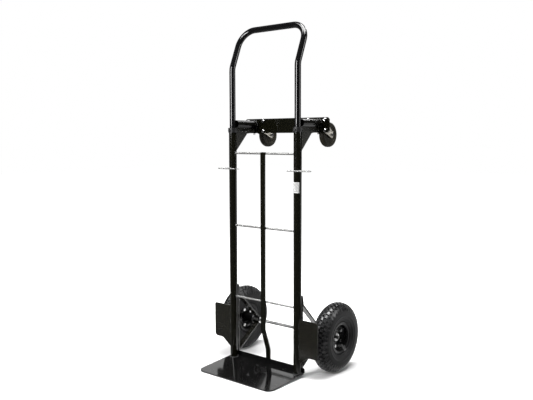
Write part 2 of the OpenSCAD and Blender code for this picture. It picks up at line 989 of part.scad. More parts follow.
module caster_fork() {
  color("#c4c1b8")
    difference() {
      union() {
        for (s = [-1, 1])
          translate([caster_x, 0, 0])
            sided(s)
              yz_slab(leg_in, leg_out)
                leg_outline();
        translate([caster_x - leg_out, crown_face, bar_z - 25])
          cube([2 * leg_out, fork_t, 45]);
        ycyl(50, crown_face, crown_back, caster_x, bar_z);
      }
      translate([caster_x, race_face + race_gap / 2, bar_z])
        rotate([-90, 0, 0])
          rotate_extrude()
            translate([ball_r, 0])
              circle(d = ball_d + 0.8);
      ycyl(kingpin_d + 2 * kingpin_clearance, bar_y, crown_back + 9, caster_x, bar_z);
      xcyl(caster_axle_d, caster_x - 30, caster_x + 30, caster_axle_y, caster_axle_z);
    }
}

module caster_wheel() {
  w = caster_w / 2;
  r = caster_d / 2;
  color("#2a2522")
    translate([caster_x, caster_axle_y, caster_axle_z])
      rotate([0, 90, 0])
        rotate_extrude()
          polygon([
            [8, -w], [15, -w], [17, -w + 4], [31, -w + 4], [33, -w + 1.5],
            [r - 6, -w + 1.5], [r - 2, -w + 4], [r - 0.3, -w + 8], [r, 0],
            [r - 0.3, w - 8], [r - 2, w - 4], [r - 6, w - 1.5],
            [33, w - 1.5], [31, w - 4], [17, w - 4], [15, w], [8, w],
          ]);
}

module caster_bush() {
  l = leg_in - 0.4;
  color("#a9abad")
    difference() {
      xcyl(16, caster_x - l, caster_x + l, caster_axle_y, caster_axle_z);
      xcyl(
        caster_axle_d + 2 * kingpin_clearance, caster_x - 30, caster_x + 30,
        caster_axle_y, caster_axle_z
      );
    }
}

module caster_bolt() {
  color("#c9cbcc") {
    xcyl(caster_axle_d, caster_x - leg_out - 8, caster_x + leg_out + 0.1, caster_axle_y, caster_axle_z);
    xhex(13, caster_x + leg_out, caster_x + leg_out + 5, caster_axle_y, caster_axle_z);
    difference() {
      xhex(13, caster_x - leg_out - 6.5, caster_x - leg_out, caster_axle_y, caster_axle_z);
      xcyl(
        caster_axle_d + 2 * thread_gap, caster_x - leg_out - 9, caster_x - leg_out + 1,
        caster_axle_y, caster_axle_z
      );
    }
  }
}

module caster_bolts() {
  color("#d5d6d7")
    for (p = bolt_spots()) {
      ycyl(caster_bolt_d, bar_y - 8.5, plate_back + 0.1, p[0], p[1]);
      yhex(12, plate_back, plate_back + 4.5, p[0], p[1]);
    }
}

module caster_nuts() {
  color("#d5d6d7")
    for (p = bolt_spots())
      difference() {
        yhex(12.5, bar_y - 6.5, bar_y, p[0], p[1]);
        ycyl(caster_bolt_d, bar_y - 9, bar_y + 1, p[0], p[1]);
      }
}

// ---------- assembly ----------

// Move a piece drawn from the rail plane to the middle of the overall depth
module placed(side = 1) {
  translate([0, rail_plane_y, 0])
    sided(side)
      children();
}

placed(-1) rail();  // left_rail
placed() rail();  // right_rail
placed() rung(top_rung_z);  // top_rung
placed() rung(middle_rung_z);  // middle_rung
placed() rung(lower_rung_z);  // lower_rung
placed() centre_strut();
placed() toe_plate();
placed(-1) wheel_guard();  // left_wheel_guard
placed() wheel_guard();  // right_wheel_guard
placed(-1) axle_bracket();  // left_axle_bracket
placed() axle_bracket();  // right_axle_bracket
placed(-1) gusset();  // left_gusset
placed() gusset();  // right_gusset
placed(-1) handle_socket();  // left_handle_socket
placed() handle_socket();  // right_handle_socket
placed() caster_bar();
placed() axle();
placed(-1) rail_collar();  // left_rail_collar
placed() rail_collar();  // right_rail_collar
placed() collar_screws();
placed() axle_collars();
placed() wheel_washers();
placed() cotter_pins();
placed() caster_bolts();
placed() caster_nuts();
placed() blank_label();
placed() handle_loop();
placed(-1) lock_pin();  // left_lock_pin
placed() lock_pin();  // right_lock_pin
placed(-1) tyre();  // left_tyre
placed(-1) inner_tube();  // left_inner_tube
placed(-1) outer_rim();  // left_outer_rim
placed(-1) inner_rim();  // left_inner_rim
placed(-1) hub();  // left_hub
placed(-1) bearings();  // left_bearings
placed(-1) rim_bolt_set();  // left_rim_bolts
placed() tyre();  // right_tyre
placed() inner_tube();  // right_inner_tube
placed() outer_rim();  // right_outer_rim
placed() inner_rim();  // right_inner_rim
placed() hub();  // right_hub
placed() bearings();  // right_bearings
placed() rim_bolt_set();  // right_rim_bolts
placed(-1) caster_plate();  // left_caster_plate
placed(-1) caster_kingpin();  // left_caster_kingpin
placed(-1) caster_balls();  // left_caster_balls
placed(-1) caster_fork();  // left_caster_fork
placed(-1) caster_wheel();  // left_caster_wheel
placed(-1) caster_bush();  // left_caster_bush
placed(-1) caster_bolt();  // left_caster_bolt
placed() caster_plate();  // right_caster_plate
placed() caster_kingpin();  // right_caster_kingpin
placed() caster_balls();  // right_caster_balls
placed() caster_fork();  // right_caster_fork
placed() caster_wheel();  // right_caster_wheel
placed() caster_bush();  // right_caster_bush
placed() caster_bolt();  // right_caster_bolt
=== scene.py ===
"""Finishes, treaded tyres, weld seams, screws and a plain studio for a two-in-one hand truck."""

import logging
import math
from dataclasses import dataclass, field
from enum import Enum
from functools import lru_cache
from typing import Any, Mapping, Protocol, Sequence, Union

import bmesh
import bpy
from mathutils import Matrix, Vector


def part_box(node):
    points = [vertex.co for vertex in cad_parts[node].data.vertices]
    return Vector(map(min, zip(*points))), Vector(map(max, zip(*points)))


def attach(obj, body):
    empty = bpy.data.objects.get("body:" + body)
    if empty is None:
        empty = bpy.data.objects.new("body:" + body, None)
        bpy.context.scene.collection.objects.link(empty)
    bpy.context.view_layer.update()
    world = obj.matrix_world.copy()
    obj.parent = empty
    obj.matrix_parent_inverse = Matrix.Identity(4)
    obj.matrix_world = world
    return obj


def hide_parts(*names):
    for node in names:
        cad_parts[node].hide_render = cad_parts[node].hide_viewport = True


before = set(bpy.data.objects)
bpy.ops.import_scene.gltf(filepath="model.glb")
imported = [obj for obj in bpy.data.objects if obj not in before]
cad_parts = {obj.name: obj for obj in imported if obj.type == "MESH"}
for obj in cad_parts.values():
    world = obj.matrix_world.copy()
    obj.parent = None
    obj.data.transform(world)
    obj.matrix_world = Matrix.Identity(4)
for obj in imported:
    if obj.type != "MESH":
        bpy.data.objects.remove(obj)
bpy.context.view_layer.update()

LOG = logging.getLogger("hand_truck")
MM = 0.001
SAME_POINT = 0.0001 * MM
RUNGS = ("top_rung", "middle_rung", "lower_rung")

Colour = tuple[float, float, float]
Triple = tuple[float, float, float]
Span = tuple[float, float]
Profile = tuple[Span, ...]
Loop = list[bmesh.types.BMVert]
Path = list[Vector]
Operand = Union["Signal", float]


class Side(Enum):
    """The two mirrored halves of the truck."""

    LEFT = "left"
    RIGHT = "right"

    @property
    def sign(self) -> float:
        """-1 on the left half, 1 on the right half."""
        return -1.0 if self is Side.LEFT else 1.0

    def named(self, part: str) -> str:
        """Name of this side's part, such as left_tyre."""
        return f"{self.value}_{part}"


class Slot(Enum):
    """The record's material slots, stored on the shells made here."""

    BLACK_PAINT = "black_paint"
    RIM_PAINT = "rim_paint"
    ZINC_ROD = "zinc_rod"
    ZINC_FASTENER = "zinc_fastener"
    CASTER_ZINC = "caster_zinc"
    SPRING_WIRE = "spring_wire"
    BARE_STEEL = "bare_steel"
    TYRE_RUBBER = "tyre_rubber"
    CASTER_TREAD = "caster_tread"


# ---------- node trees ----------


class Signal:
    """A node output that takes part in arithmetic; each operator adds one Math node."""

    def __init__(self, board: "Board", socket: bpy.types.NodeSocket) -> None:
        """Wrap an output socket of a board."""
        self.board = board
        self.socket = socket

    def _math(self, operation: str, *values: Operand, **settings: Any) -> "Signal":
        """Add a Math node.

        Args:
            operation: the node's operation.
            *values: numbers or signals for its inputs.
            **settings: more settings of the node.

        Returns:
            The node's output.
        """
        return self.board.node(
            "ShaderNodeMath", {"operation": operation, **settings}, dict(enumerate(values))
        )

    def __add__(self, other: Operand) -> "Signal":
        """Sum."""
        return self._math("ADD", self, other)

    def __radd__(self, other: Operand) -> "Signal":
        """Sum, with the number in front."""
        return self._math("ADD", other, self)

    def __sub__(self, other: Operand) -> "Signal":
        """Difference."""
        return self._math("SUBTRACT", self, other)

    def __rsub__(self, other: Operand) -> "Signal":
        """Difference, with the number in front."""
        return self._math("SUBTRACT", other, self)

    def __mul__(self, other: Operand) -> "Signal":
        """Product."""
        return self._math("MULTIPLY", self, other)

    def __rmul__(self, other: Operand) -> "Signal":
        """Product, with the number in front."""
        return self._math("MULTIPLY", other, self)

    def __pow__(self, other: float) -> "Signal":
        """Power."""
        return self._math("POWER", self, other)

    def clamped(self) -> "Signal":
        """The value kept between 0 and 1."""
        return self._math("ADD", self, 0.0, use_clamp=True)

    def between(self, low: float, high: float) -> "Signal":
        """A smooth step.

        Args:
            low: value at which the result is 0.
            high: value at which the result is 1.

        Returns:
            0 to 1, eased at both ends.
        """
        return self.board.node(
            "ShaderNodeMapRange",
            {"interpolation_type": "SMOOTHSTEP"},
            {"Value": self, "From Min": low, "From Max": high},
        )


class Board:
    """A node tree that is filled through one method."""

    def __init__(self, tree: bpy.types.NodeTree) -> None:
        """Take over an empty tree."""
        self.tree = tree

    def node(
        self,
        kind: str,
        settings: Mapping[str, Any] | None = None,
        inputs: Mapping[str | int, Any] | None = None,
        output: str | int = 0,
    ) -> Signal:
        """Add a node.

        Args:
            kind: the node's type.
            settings: its settings, set first.
            inputs: numbers, colours or signals for its sockets.
            output: which output to return.

        Returns:
            The chosen output, or the first input of a node that has no output.
        """
        added = self.tree.nodes.new(kind)
        for name, value in (settings or {}).items():
            setattr(added, name, value)
        for name, value in (inputs or {}).items():
            if isinstance(value, Signal):
                self.tree.links.new(value.socket, added.inputs[name])
            else:
                added.inputs[name].default_value = value
        if not added.outputs:
            return Signal(self, added.inputs[0])
        return Signal(self, added.outputs[output])

    def ray(self, output: str) -> Signal:
        """A Light Path output, such as Is Camera Ray."""
        return self.node("ShaderNodeLightPath", output=output)

    def along(self, place: Signal, way: Triple) -> Signal:
        """How far a place lies along a direction."""
        return self.node("ShaderNodeVectorMath", {"operation": "DOT_PRODUCT"}, {0: place, 1: way}, "Value")


class Surface(Board):
    """The node tree of one material."""

    def __init__(self, name: str) -> None:
        """Make an empty material.

        Args:
            name: the material's name.
        """
        self.material = bpy.data.materials.new(name)
        self.material.use_nodes = True
        self.material.node_tree.nodes.clear()
        super().__init__(self.material.node_tree)
        self.place = self.node("ShaderNodeTexCoord", output="Object")

    def stretched(self, x: float, y: float, z: float) -> Signal:
        """The place on the piece, with each axis scaled."""
        return self.node("ShaderNodeVectorMath", {"operation": "MULTIPLY"}, {0: self.place, 1: (x, y, z)})

    def noise(self, scale: float, detail: float = 3.0, place: Signal | None = None) -> Signal:
        """Cloudy values round 0.5.

        Args:
            scale: cells per metre.
            detail: how many finer layers are added.
            place: where to read it, or the plain place.

        Returns:
            The noise value.
        """
        return self.node(
            "ShaderNodeTexNoise", {}, {"Vector": place or self.place, "Scale": scale, "Detail": detail}
        )

    def cells(self, scale: float, output: str = "Distance") -> Signal:
        """Voronoi cells, given by their distance or colour."""
        return self.node("ShaderNodeTexVoronoi", {}, {"Vector": self.place, "Scale": scale}, output)

    def blend(self, factor: Operand, first: Signal | Colour, second: Signal | Colour) -> Signal:
        """Mix of two colours.

        Args:
            factor: 0 for the first colour, 1 for the second.
            first: a colour or signal.
            second: a colour or signal.

        Returns:
            The mixed colour.
        """
        ends = [c if isinstance(c, Signal) else (*c, 1.0) for c in (first, second)]
        return self.node(
            "ShaderNodeMix", {"data_type": "RGBA"}, {0: factor, 6: ends[0], 7: ends[1]}, output=2
        )

    def upward(self) -> Signal:
        """How much the surface faces up, 0 to 1."""
        normal = self.node("ShaderNodeNewGeometry", output="Normal")
        return self.node("ShaderNodeSeparateXYZ", {}, {0: normal}, "Z").clamped()

    def height(self) -> Signal:
        """Height above the ground in metres."""
        return self.node("ShaderNodeSeparateXYZ", {}, {0: self.place}, "Z")

    def relief(self, height: Signal, depth: float, strength: float = 1.0) -> Signal:
        """Bump from a height signal.

        Args:
            height: the relief, about 0 to 1.
            depth: metres that a height of 1 stands proud.
            strength: share of the bump that is used.

        Returns:
            The bumped normal.
        """
        return self.node("ShaderNodeBump", {}, {"Strength": strength, "Distance": depth, "Height": height})

    def finished(self, **inputs: Any) -> bpy.types.Material:
        """Close the tree with one Principled surface.

        Args:
            **inputs: its sockets, with underscores for spaces.

        Returns:
            The material.
        """
        values = {name.replace("_", " "): value for name, value in inputs.items()}
        for name, value in values.items():
            if isinstance(value, tuple) and len(value) == 3:
                values[name] = (*value, 1.0)
        shader = self.node("ShaderNodeBsdfPrincipled", {}, values)
        self.node("ShaderNodeOutputMaterial", {}, {"Surface": shader})
        return self.material


class Rule(Board):
    """A geometry node group with named inputs that grows a mesh."""

    def __init__(self, name: str, inputs: Mapping[str, str]) -> None:
        """Make the group.

        Args:
            name: the group's name.
            inputs: each input's name and kind, such as Float or Object.
        """
        super().__init__(bpy.data.node_groups.new(name, "GeometryNodeTree"))
        face = self.tree.interface
        face.new_socket(name="Geometry", in_out="OUTPUT", socket_type="NodeSocketGeometry")
        face.new_socket(name="Geometry", in_out="INPUT", socket_type="NodeSocketGeometry")
        for label, kind in inputs.items():
            face.new_socket(name=label, in_out="INPUT", socket_type=f"NodeSocket{kind}")
        self.entry = self.tree.nodes.new("NodeGroupInput")

    def given(self, label: str) -> Signal:
        """The group's input of that name."""
        return Signal(self, self.entry.outputs[label])

    def closed(self, instances: Signal) -> None:
        """End the group: instances become real faces with the given material.

        Args:
            instances: what the rule has laid out.
        """
        real = self.node("GeometryNodeRealizeInstances", {}, {0: instances})
        painted = self.node(
            "GeometryNodeSetMaterial", {}, {"Geometry": real, "Material": self.given("Material")}
        )
        self.node("NodeGroupOutput", {}, {0: painted})

    def grown(self, base: bpy.types.Mesh, values: Mapping[str, Any]) -> bpy.types.Mesh:
        """Run the group on a base mesh.

        Args:
            base: the mesh that carries the rule.
            values: each input's value, by name.

        Returns:
            The plain mesh that came out.
        """
        carrier = linked("carrier", base)
        modifier = carrier.modifiers.new("rule", "NODES")
        modifier.node_group = self.tree
        for item in self.tree.interface.items_tree:
            if item.in_out == "INPUT" and item.name in values:
                modifier[item.identifier] = values[item.name]
        graph = bpy.context.evaluated_depsgraph_get()
        mesh = bpy.data.meshes.new_from_object(carrier.evaluated_get(graph))
        carrier.modifiers.remove(modifier)
        bpy.data.objects.remove(carrier)
        return mesh


# ---------- mesh helpers ----------


class Axis(Enum):
    """The axis that a ring lies round, with the two directions that span the ring."""

    X = (1, 2)
    Y = (0, 2)
    Z = (0, 1)

    def spoke(self, radius: float, angle: float) -> Vector:
        """Step from the axis to a point of a ring.

        Args:
            radius: distance from the axis.
            angle: turn round the axis, in radians.

        Returns:
            The step.
        """
        step = Vector()
        step[self.value[0]] = radius * math.cos(angle)
        step[self.value[1]] = radius * math.sin(angle)
        return step

    def loop(self, form: bmesh.types.BMesh, centre: Vector, radii: Sequence[float]) -> Loop:
        """Add a closed loop of points.

        Args:
            form: the bmesh to add to.
            centre: the loop's centre, on the axis.
            radii: distance of each point from the axis.

        Returns:
            The new points.
        """
        turn = 2 * math.pi
        return [
            form.verts.new(centre + self.spoke(r, turn * i / len(radii))) for i, r in enumerate(radii)
        ]


def skinned(form: bmesh.types.BMesh, loops: Sequence[Loop], capped: bool = False) -> None:
    """Join loops of points with faces.

    Args:
        form: the bmesh that holds them.
        loops: closed loops with equally many points, in order.
        capped: whether the first and the last loop are closed too.
    """
    for near, far in zip(loops, loops[1:]):
        for i in range(len(near)):
            k = (i + 1) % len(near)
            form.faces.new((near[i], near[k], far[k], far[i]))
    if capped:
        form.faces.new(loops[0])
        form.faces.new(loops[-1][::-1])


def mesh_from(form: bmesh.types.BMesh, name: str, smooth: bool = True) -> bpy.types.Mesh:
    """Turn a bmesh into a mesh with outward faces.

    Args:
        form: the bmesh, which is freed.
        name: the mesh's name.
        smooth: whether the faces are shaded smooth.

    Returns:
        The mesh.
    """
    bmesh.ops.remove_doubles(form, verts=form.verts, dist=SAME_POINT)
    bmesh.ops.recalc_face_normals(form, faces=form.faces)
    mesh = bpy.data.meshes.new(name)
    form.to_mesh(mesh)
    form.free()
    for polygon in mesh.polygons:
        polygon.use_smooth = smooth
    return mesh


def joined(name: str, meshes: Sequence[bpy.types.Mesh]) -> bpy.types.Mesh:
    """Put several meshes into one, keeping their materials.

    Args:
        name: the new mesh's name.
        meshes: the parts.

    Returns:
        The joined mesh.
    """
    form = bmesh.new()
    materials: list[bpy.types.Material | None] = []
    for mesh in meshes:
        first = len(form.faces)
        form.from_mesh(mesh)
        form.faces.ensure_lookup_table()
        own = list(mesh.materials) or [None]
        for face in form.faces[first:]:
            material = own[min(face.material_index, len(own) - 1)]
            if material not in materials:
                materials.append(material)
            face.material_index = materials.index(material)
    whole = bpy.data.meshes.new(name)
    form.to_mesh(whole)
    form.free()
    for material in materials:
        whole.materials.append(material)
    return whole


def linked(name: str, data: bpy.types.ID | None) -> bpy.types.Object:
    """Put an object into the scene.

    Args:
        name: the object's name.
        data: its mesh, lamp or camera.

    Returns:
        The new object.
    """
    thing = bpy.data.objects.new(name, data)
    bpy.context.scene.collection.objects.link(thing)
    return thing


def placed_piece(
    name: str, mesh: bpy.types.Mesh, body: str, replaces: Sequence[str] = ()
) -> bpy.types.Object:
    """Make a piece of the truck from a finished mesh.

    Args:
        name: the piece's name.
        mesh: its mesh, in the truck's frame.
        body: the body that it moves with.
        replaces: the solids that it stands for.

    Returns:
        The new object.
    """
    piece = linked(name, mesh)
    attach(piece, body)
    if replaces:
        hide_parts(*replaces)
    LOG.info("%s: %d faces on %s", name, len(mesh.polygons), body)
    return piece


# ---------- finishes ----------


class Finish(Protocol):
    """A look that can be built as a material."""

    def material(self) -> bpy.types.Material:
        """Build the look's material."""


@dataclass(frozen=True)
class GlossEnamel:
    """Baked black enamel: faint orange peel, settled dust, a few rubbed places."""

    name: str
    colour: Colour = (0.0042, 0.0042, 0.0044)
    roughness: float = 0.09
    gloss: float = 0.5
    peel: float = 0.03
    peel_depth: float = 0.25 * MM
    dust: float = 0.03
    dust_colour: Colour = (0.32, 0.30, 0.27)
    dust_dulls: float = 3.0
    scuff_tint: float = 0.02
    scuff_dulls: float = 0.25
    mottle: float = 1.0
    rubbed_below: float = 0.0
    rubbed_dulls: float = 0.25

    def material(self) -> bpy.types.Material:
        """Build the material.

        Returns:
            The enamel, duller where dust lies, where it is smeared and where it is rubbed.
        """
        s = Surface(self.name)
        cloud = s.noise(7.0, detail=4.0)
        smear = s.noise(38.0, detail=5.0, place=s.stretched(1.0, 1.0, 0.35))
        dust = (s.upward() ** 3.0) * s.noise(160.0, detail=6.0).between(0.35, 0.75) * self.dust
        scratch = s.noise(420.0, detail=2.0, place=s.stretched(0.12, 1.0, 1.0))
        scuff = scratch.between(0.66, 0.74) * cloud.between(0.5, 0.62)
        patches = cloud.between(0.35, 0.7) * 0.03 + smear.between(0.5, 0.75) * 0.04
        roughness = self.roughness + patches * self.mottle
        if self.rubbed_below:
            low = 1.0 - s.height().between(self.rubbed_below * 0.4, self.rubbed_below)
            grit = s.noise(900.0, detail=3.0).between(0.45, 0.7) * low
            roughness = roughness + grit * self.rubbed_dulls
        peel = s.noise(520.0, detail=2.0) + s.noise(90.0, detail=1.0) * 0.8
        return s.finished(
            Base_Color=s.blend(dust + scuff * self.scuff_tint, self.colour, self.dust_colour),
            Roughness=(roughness + scuff * self.scuff_dulls + dust * self.dust_dulls).clamped(),
            Specular_IOR_Level=self.gloss,
            IOR=1.5,
            Normal=s.relief(peel, self.peel_depth, self.peel),
        )


@dataclass(frozen=True)
class ZincPlate:
    """Zinc plate over steel: faint spangle, drawing lines and dull patches."""

    name: str
    colour: Colour = (0.62, 0.63, 0.64)
    roughness: float = 0.27
    lines: Triple = (6.0, 900.0, 900.0)
    line_tint: float = 0.25
    patch_tint: float = 0.35
    spangle: float = 0.05
    relief: float = 0.06 * MM
    contrast: float = 1.0
    metal: float = 1.0
    dull_share: float = 0.62

    def material(self) -> bpy.types.Material:
        """Build the material.

        Returns:
            The plating, darker and duller in patches, flakes and drawn lines.
        """
        s = Surface(self.name)
        drawn = s.noise(1.0, detail=3.0, place=s.stretched(*self.lines))
        patch = s.noise(60.0, detail=4.0)
        flake = s.node("ShaderNodeSeparateXYZ", {}, {0: s.cells(260.0, "Color")})
        patches = patch.between(0.3, 0.75) * self.patch_tint
        mixed = patches + flake * self.spangle * 4.0 + drawn * self.line_tint
        dull = tuple(channel * self.dull_share for channel in self.colour)
        return s.finished(
            Base_Color=s.blend((mixed * self.contrast).clamped(), self.colour, dull),
            Metallic=self.metal,
            Roughness=(self.roughness + patch * 0.12 + drawn * 0.1 - 0.1).clamped(),
            Normal=s.relief(drawn + flake * 0.4, self.relief, 0.5),
        )


@dataclass(frozen=True)
class TreadRubber:
    """Moulded rubber: clouds of chalky bloom, dust on top, fine mould texture; the paler copy on the tread
    blocks is partly bloom and partly painted light.
    """

    name: str
    colour: Colour = (0.024, 0.024, 0.026)
    bloom: Colour = (0.085, 0.085, 0.088)
    bloom_share: float = 0.35
    speck_share: float = 0.12
    dust: float = 0.10
    roughness: float = 0.62
    gloss: float = 0.45
    grain_depth: float = 0.2 * MM

    def material(self) -> bpy.types.Material:
        """Build the material.

        Returns:
            The rubber, clouded with bloom and dust.
        """
        s = Surface(self.name)
        cloud = s.noise(26.0, detail=5.0)
        fine = s.noise(700.0, detail=4.0)
        chalk = cloud.between(0.38, 0.72) * self.bloom_share + fine.between(0.55, 0.8) * self.speck_share
        dust = (s.upward() ** 2.0) * self.dust
        return s.finished(
            Base_Color=s.blend((chalk + dust).clamped(), self.colour, self.bloom),
            Roughness=(self.roughness + fine * 0.2 + cloud * 0.12 - 0.1).clamped(),
            Specular_IOR_Level=self.gloss,
            Normal=s.relief(fine + s.noise(2200.0, detail=2.0) * 0.5, self.grain_depth, 0.5),
        )


@dataclass(frozen=True)
class BlankPaper:
    """Plain white sticker with a bare grey field, soft wrinkles and a little soil."""

    name: str
    node: str = "blank_label"
    margin: float = 2.2 * MM
    fade: float = 0.6 * MM
    white: Colour = (0.56, 0.56, 0.55)
    grey: Colour = (0.41, 0.41, 0.405)
    soiled: Colour = (0.36, 0.355, 0.345)
    soil_share: float = 0.4
    roughness: float = 0.45
    wrinkle_depth: float = 0.4 * MM

    def material(self) -> bpy.types.Material:
        """Build the material.

        Returns:
            The paper, grey between its upper and its lower margin.
        """
        s = Surface(self.name)
        soil = s.noise(90.0, detail=4.0).between(0.45, 0.8)
        fibre = s.noise(1800.0, detail=3.0)
        low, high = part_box(self.node)
        over_low = (s.height() - (low.z + self.margin)).between(0.0, self.fade)
        over_high = (s.height() - (high.z - self.margin)).between(-self.fade, 0.0)
        paper = s.blend(over_low * (1.0 - over_high), self.white, self.grey)
        return s.finished(
            Base_Color=s.blend(soil * self.soil_share, paper, self.soiled),
            Roughness=self.roughness + fibre * 0.2,
            Normal=s.relief(s.noise(70.0, detail=2.0) * 3.0 + fibre * 0.2, self.wrinkle_depth, 0.4),
        )


@dataclass(frozen=True)
class MouldedPlastic:
    """Black moulded plastic with a fine spark-eroded grain."""

    name: str
    colour: Colour = (0.006, 0.006, 0.0062)
    worn: Colour = (0.02, 0.02, 0.021)
    wear_share: float = 0.3
    roughness: float = 0.3
    grain_depth: float = 0.1 * MM

    def material(self) -> bpy.types.Material:
        """Build the material.

        Returns:
            The plastic, a little paler where it is worn.
        """
        s = Surface(self.name)
        grain = s.cells(1500.0)
        wear = s.noise(120.0, detail=4.0).between(0.45, 0.8)
        return s.finished(
            Base_Color=s.blend(wear * self.wear_share, self.colour, self.worn),
            Roughness=self.roughness + grain * 0.25,
            Normal=s.relief(grain, self.grain_depth, 0.4),
        )


@lru_cache(maxsize=None)
def made(finish: Finish) -> bpy.types.Material:
    """The material of a finish, built once."""
    return finish.material()


TUBE_ENAMEL = GlossEnamel("tube_enamel", colour=(0.0030, 0.0029, 0.0014), peel=0.012, dust=0.02)
SOCKET_ENAMEL = GlossEnamel(
    "socket_enamel", colour=(0.0034, 0.0033, 0.0028), roughness=0.09, gloss=0.22, peel=0.02
)
HANDLE_ENAMEL = GlossEnamel(
    "handle_enamel", colour=(0.0032, 0.0032, 0.0034), roughness=0.06, peel=0.001, dust=0.0, mottle=0.25
)
PLATE_ENAMEL = GlossEnamel(
    "plate_enamel", colour=(0.0030, 0.0030, 0.0031), roughness=0.04, gloss=0.8, peel=0.006, dust=0.006,
    rubbed_below=12 * MM,
)
GUSSET_ENAMEL = GlossEnamel(
    "gusset_enamel", colour=(0.0125, 0.0122, 0.0098), roughness=0.22, gloss=0.7, peel=0.02
)
SHEET_ENAMEL = GlossEnamel(
    "sheet_enamel", colour=(0.0062, 0.0059, 0.0040), roughness=0.16, gloss=0.7, peel=0.03
)
RIM_ENAMEL = GlossEnamel(
    "rim_enamel", colour=(0.0034, 0.0034, 0.0036), roughness=0.10, gloss=0.3, peel=0.03
)
SEAM_ENAMEL = GlossEnamel("seam_enamel", roughness=0.06, gloss=0.8, peel=0.02, dust=0.0)
ROD_ZINC = ZincPlate(
    "rod_zinc", colour=(0.26, 0.26, 0.255), roughness=0.46, spangle=0.01, relief=0.01 * MM, contrast=0.4,
    metal=0.7,
)
WIRE_ZINC = ZincPlate(
    "wire_zinc", colour=(0.36, 0.36, 0.355), roughness=0.4, spangle=0.01, relief=0.01 * MM, contrast=0.4,
    metal=0.7,
)
SCREW_ZINC = ZincPlate(
    "screw_zinc", colour=(0.90, 0.90, 0.90), roughness=0.12, lines=(300.0, 300.0, 300.0)
)
FORK_ZINC = ZincPlate(
    "fork_zinc", colour=(0.72, 0.69, 0.62), roughness=0.38, lines=(120.0, 120.0, 120.0), spangle=0.06
)
TURNED_STEEL = ZincPlate(
    "turned_steel", colour=(0.28, 0.28, 0.275), roughness=0.44, lines=(900.0, 60.0, 60.0), spangle=0.01,
    relief=0.01 * MM, contrast=0.4,
)
# Carcass rubber, on the side walls and between the tread blocks, darker than the block rubber: painted
# shade in the gaps between the blocks.
TYRE_RUBBER = TreadRubber(
    "tyre_rubber", colour=(0.006, 0.006, 0.0063), bloom=(0.026, 0.026, 0.027), bloom_share=0.3,
    roughness=0.46, gloss=0.3,
)
# Paler copy of the tyre rubber for the tread blocks: partly chalky bloom, partly a painted lit look against
# the darker carcass.
LIT_BLOCK_RUBBER = TreadRubber(
    "lit_block_rubber", colour=(0.010, 0.010, 0.0105), bloom=(0.06, 0.06, 0.06), bloom_share=0.4,
    roughness=0.22, gloss=0.6,
)
TUBE_RUBBER = TreadRubber("tube_rubber", colour=(0.015, 0.015, 0.015), bloom_share=0.2)
CASTER_RUBBER = TreadRubber(
    "caster_rubber", colour=(0.0085, 0.0074, 0.0042), bloom=(0.027, 0.0235, 0.0125), bloom_share=0.5,
    roughness=0.5, gloss=0.2,
)
LABEL_PAPER = BlankPaper("label_paper")
COLLAR_PLASTIC = MouldedPlastic("collar_plastic")


@dataclass
class FinishPlan:
    """Which finish each solid of the truck wears."""

    wears: dict[Finish, tuple[str, ...]] = field(
        default_factory=lambda: {
            TUBE_ENAMEL: ("rail", "centre_strut", "caster_bar"),
            SOCKET_ENAMEL: ("handle_socket",),
            HANDLE_ENAMEL: ("handle_loop",),
            PLATE_ENAMEL: ("toe_plate",),
            SHEET_ENAMEL: ("wheel_guard", "axle_bracket"),
            GUSSET_ENAMEL: ("gusset",),
            RIM_ENAMEL: ("outer_rim", "inner_rim", "hub"),
            ROD_ZINC: RUNGS,
            WIRE_ZINC: ("lock_pin", "cotter_pins"),
            SCREW_ZINC: (
                "collar_screws", "wheel_washers", "caster_bolts", "caster_nuts", "rim_bolts",
                "caster_bolt", "axle_collars",
            ),
            FORK_ZINC: ("caster_fork", "caster_plate"),
            TURNED_STEEL: ("axle", "bearings", "caster_kingpin", "caster_balls", "caster_bush"),
            TYRE_RUBBER: ("tyre",),
            TUBE_RUBBER: ("inner_tube",),
            CASTER_RUBBER: ("caster_wheel",),
            LABEL_PAPER: ("blank_label",),
            COLLAR_PLASTIC: ("rail_collar",),
        }
    )

    def dress(self) -> None:
        """Give every solid its finish."""
        for finish, parts in self.wears.items():
            for part in parts:
                for name in (part, Side.LEFT.named(part), Side.RIGHT.named(part)):
                    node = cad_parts.get(name)
                    if node is not None:
                        node.data.materials.clear()
                        node.data.materials.append(made(finish))
        LOG.info("dressed %d solids", len(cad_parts))


# ---------- smooth shells and broken edges ----------


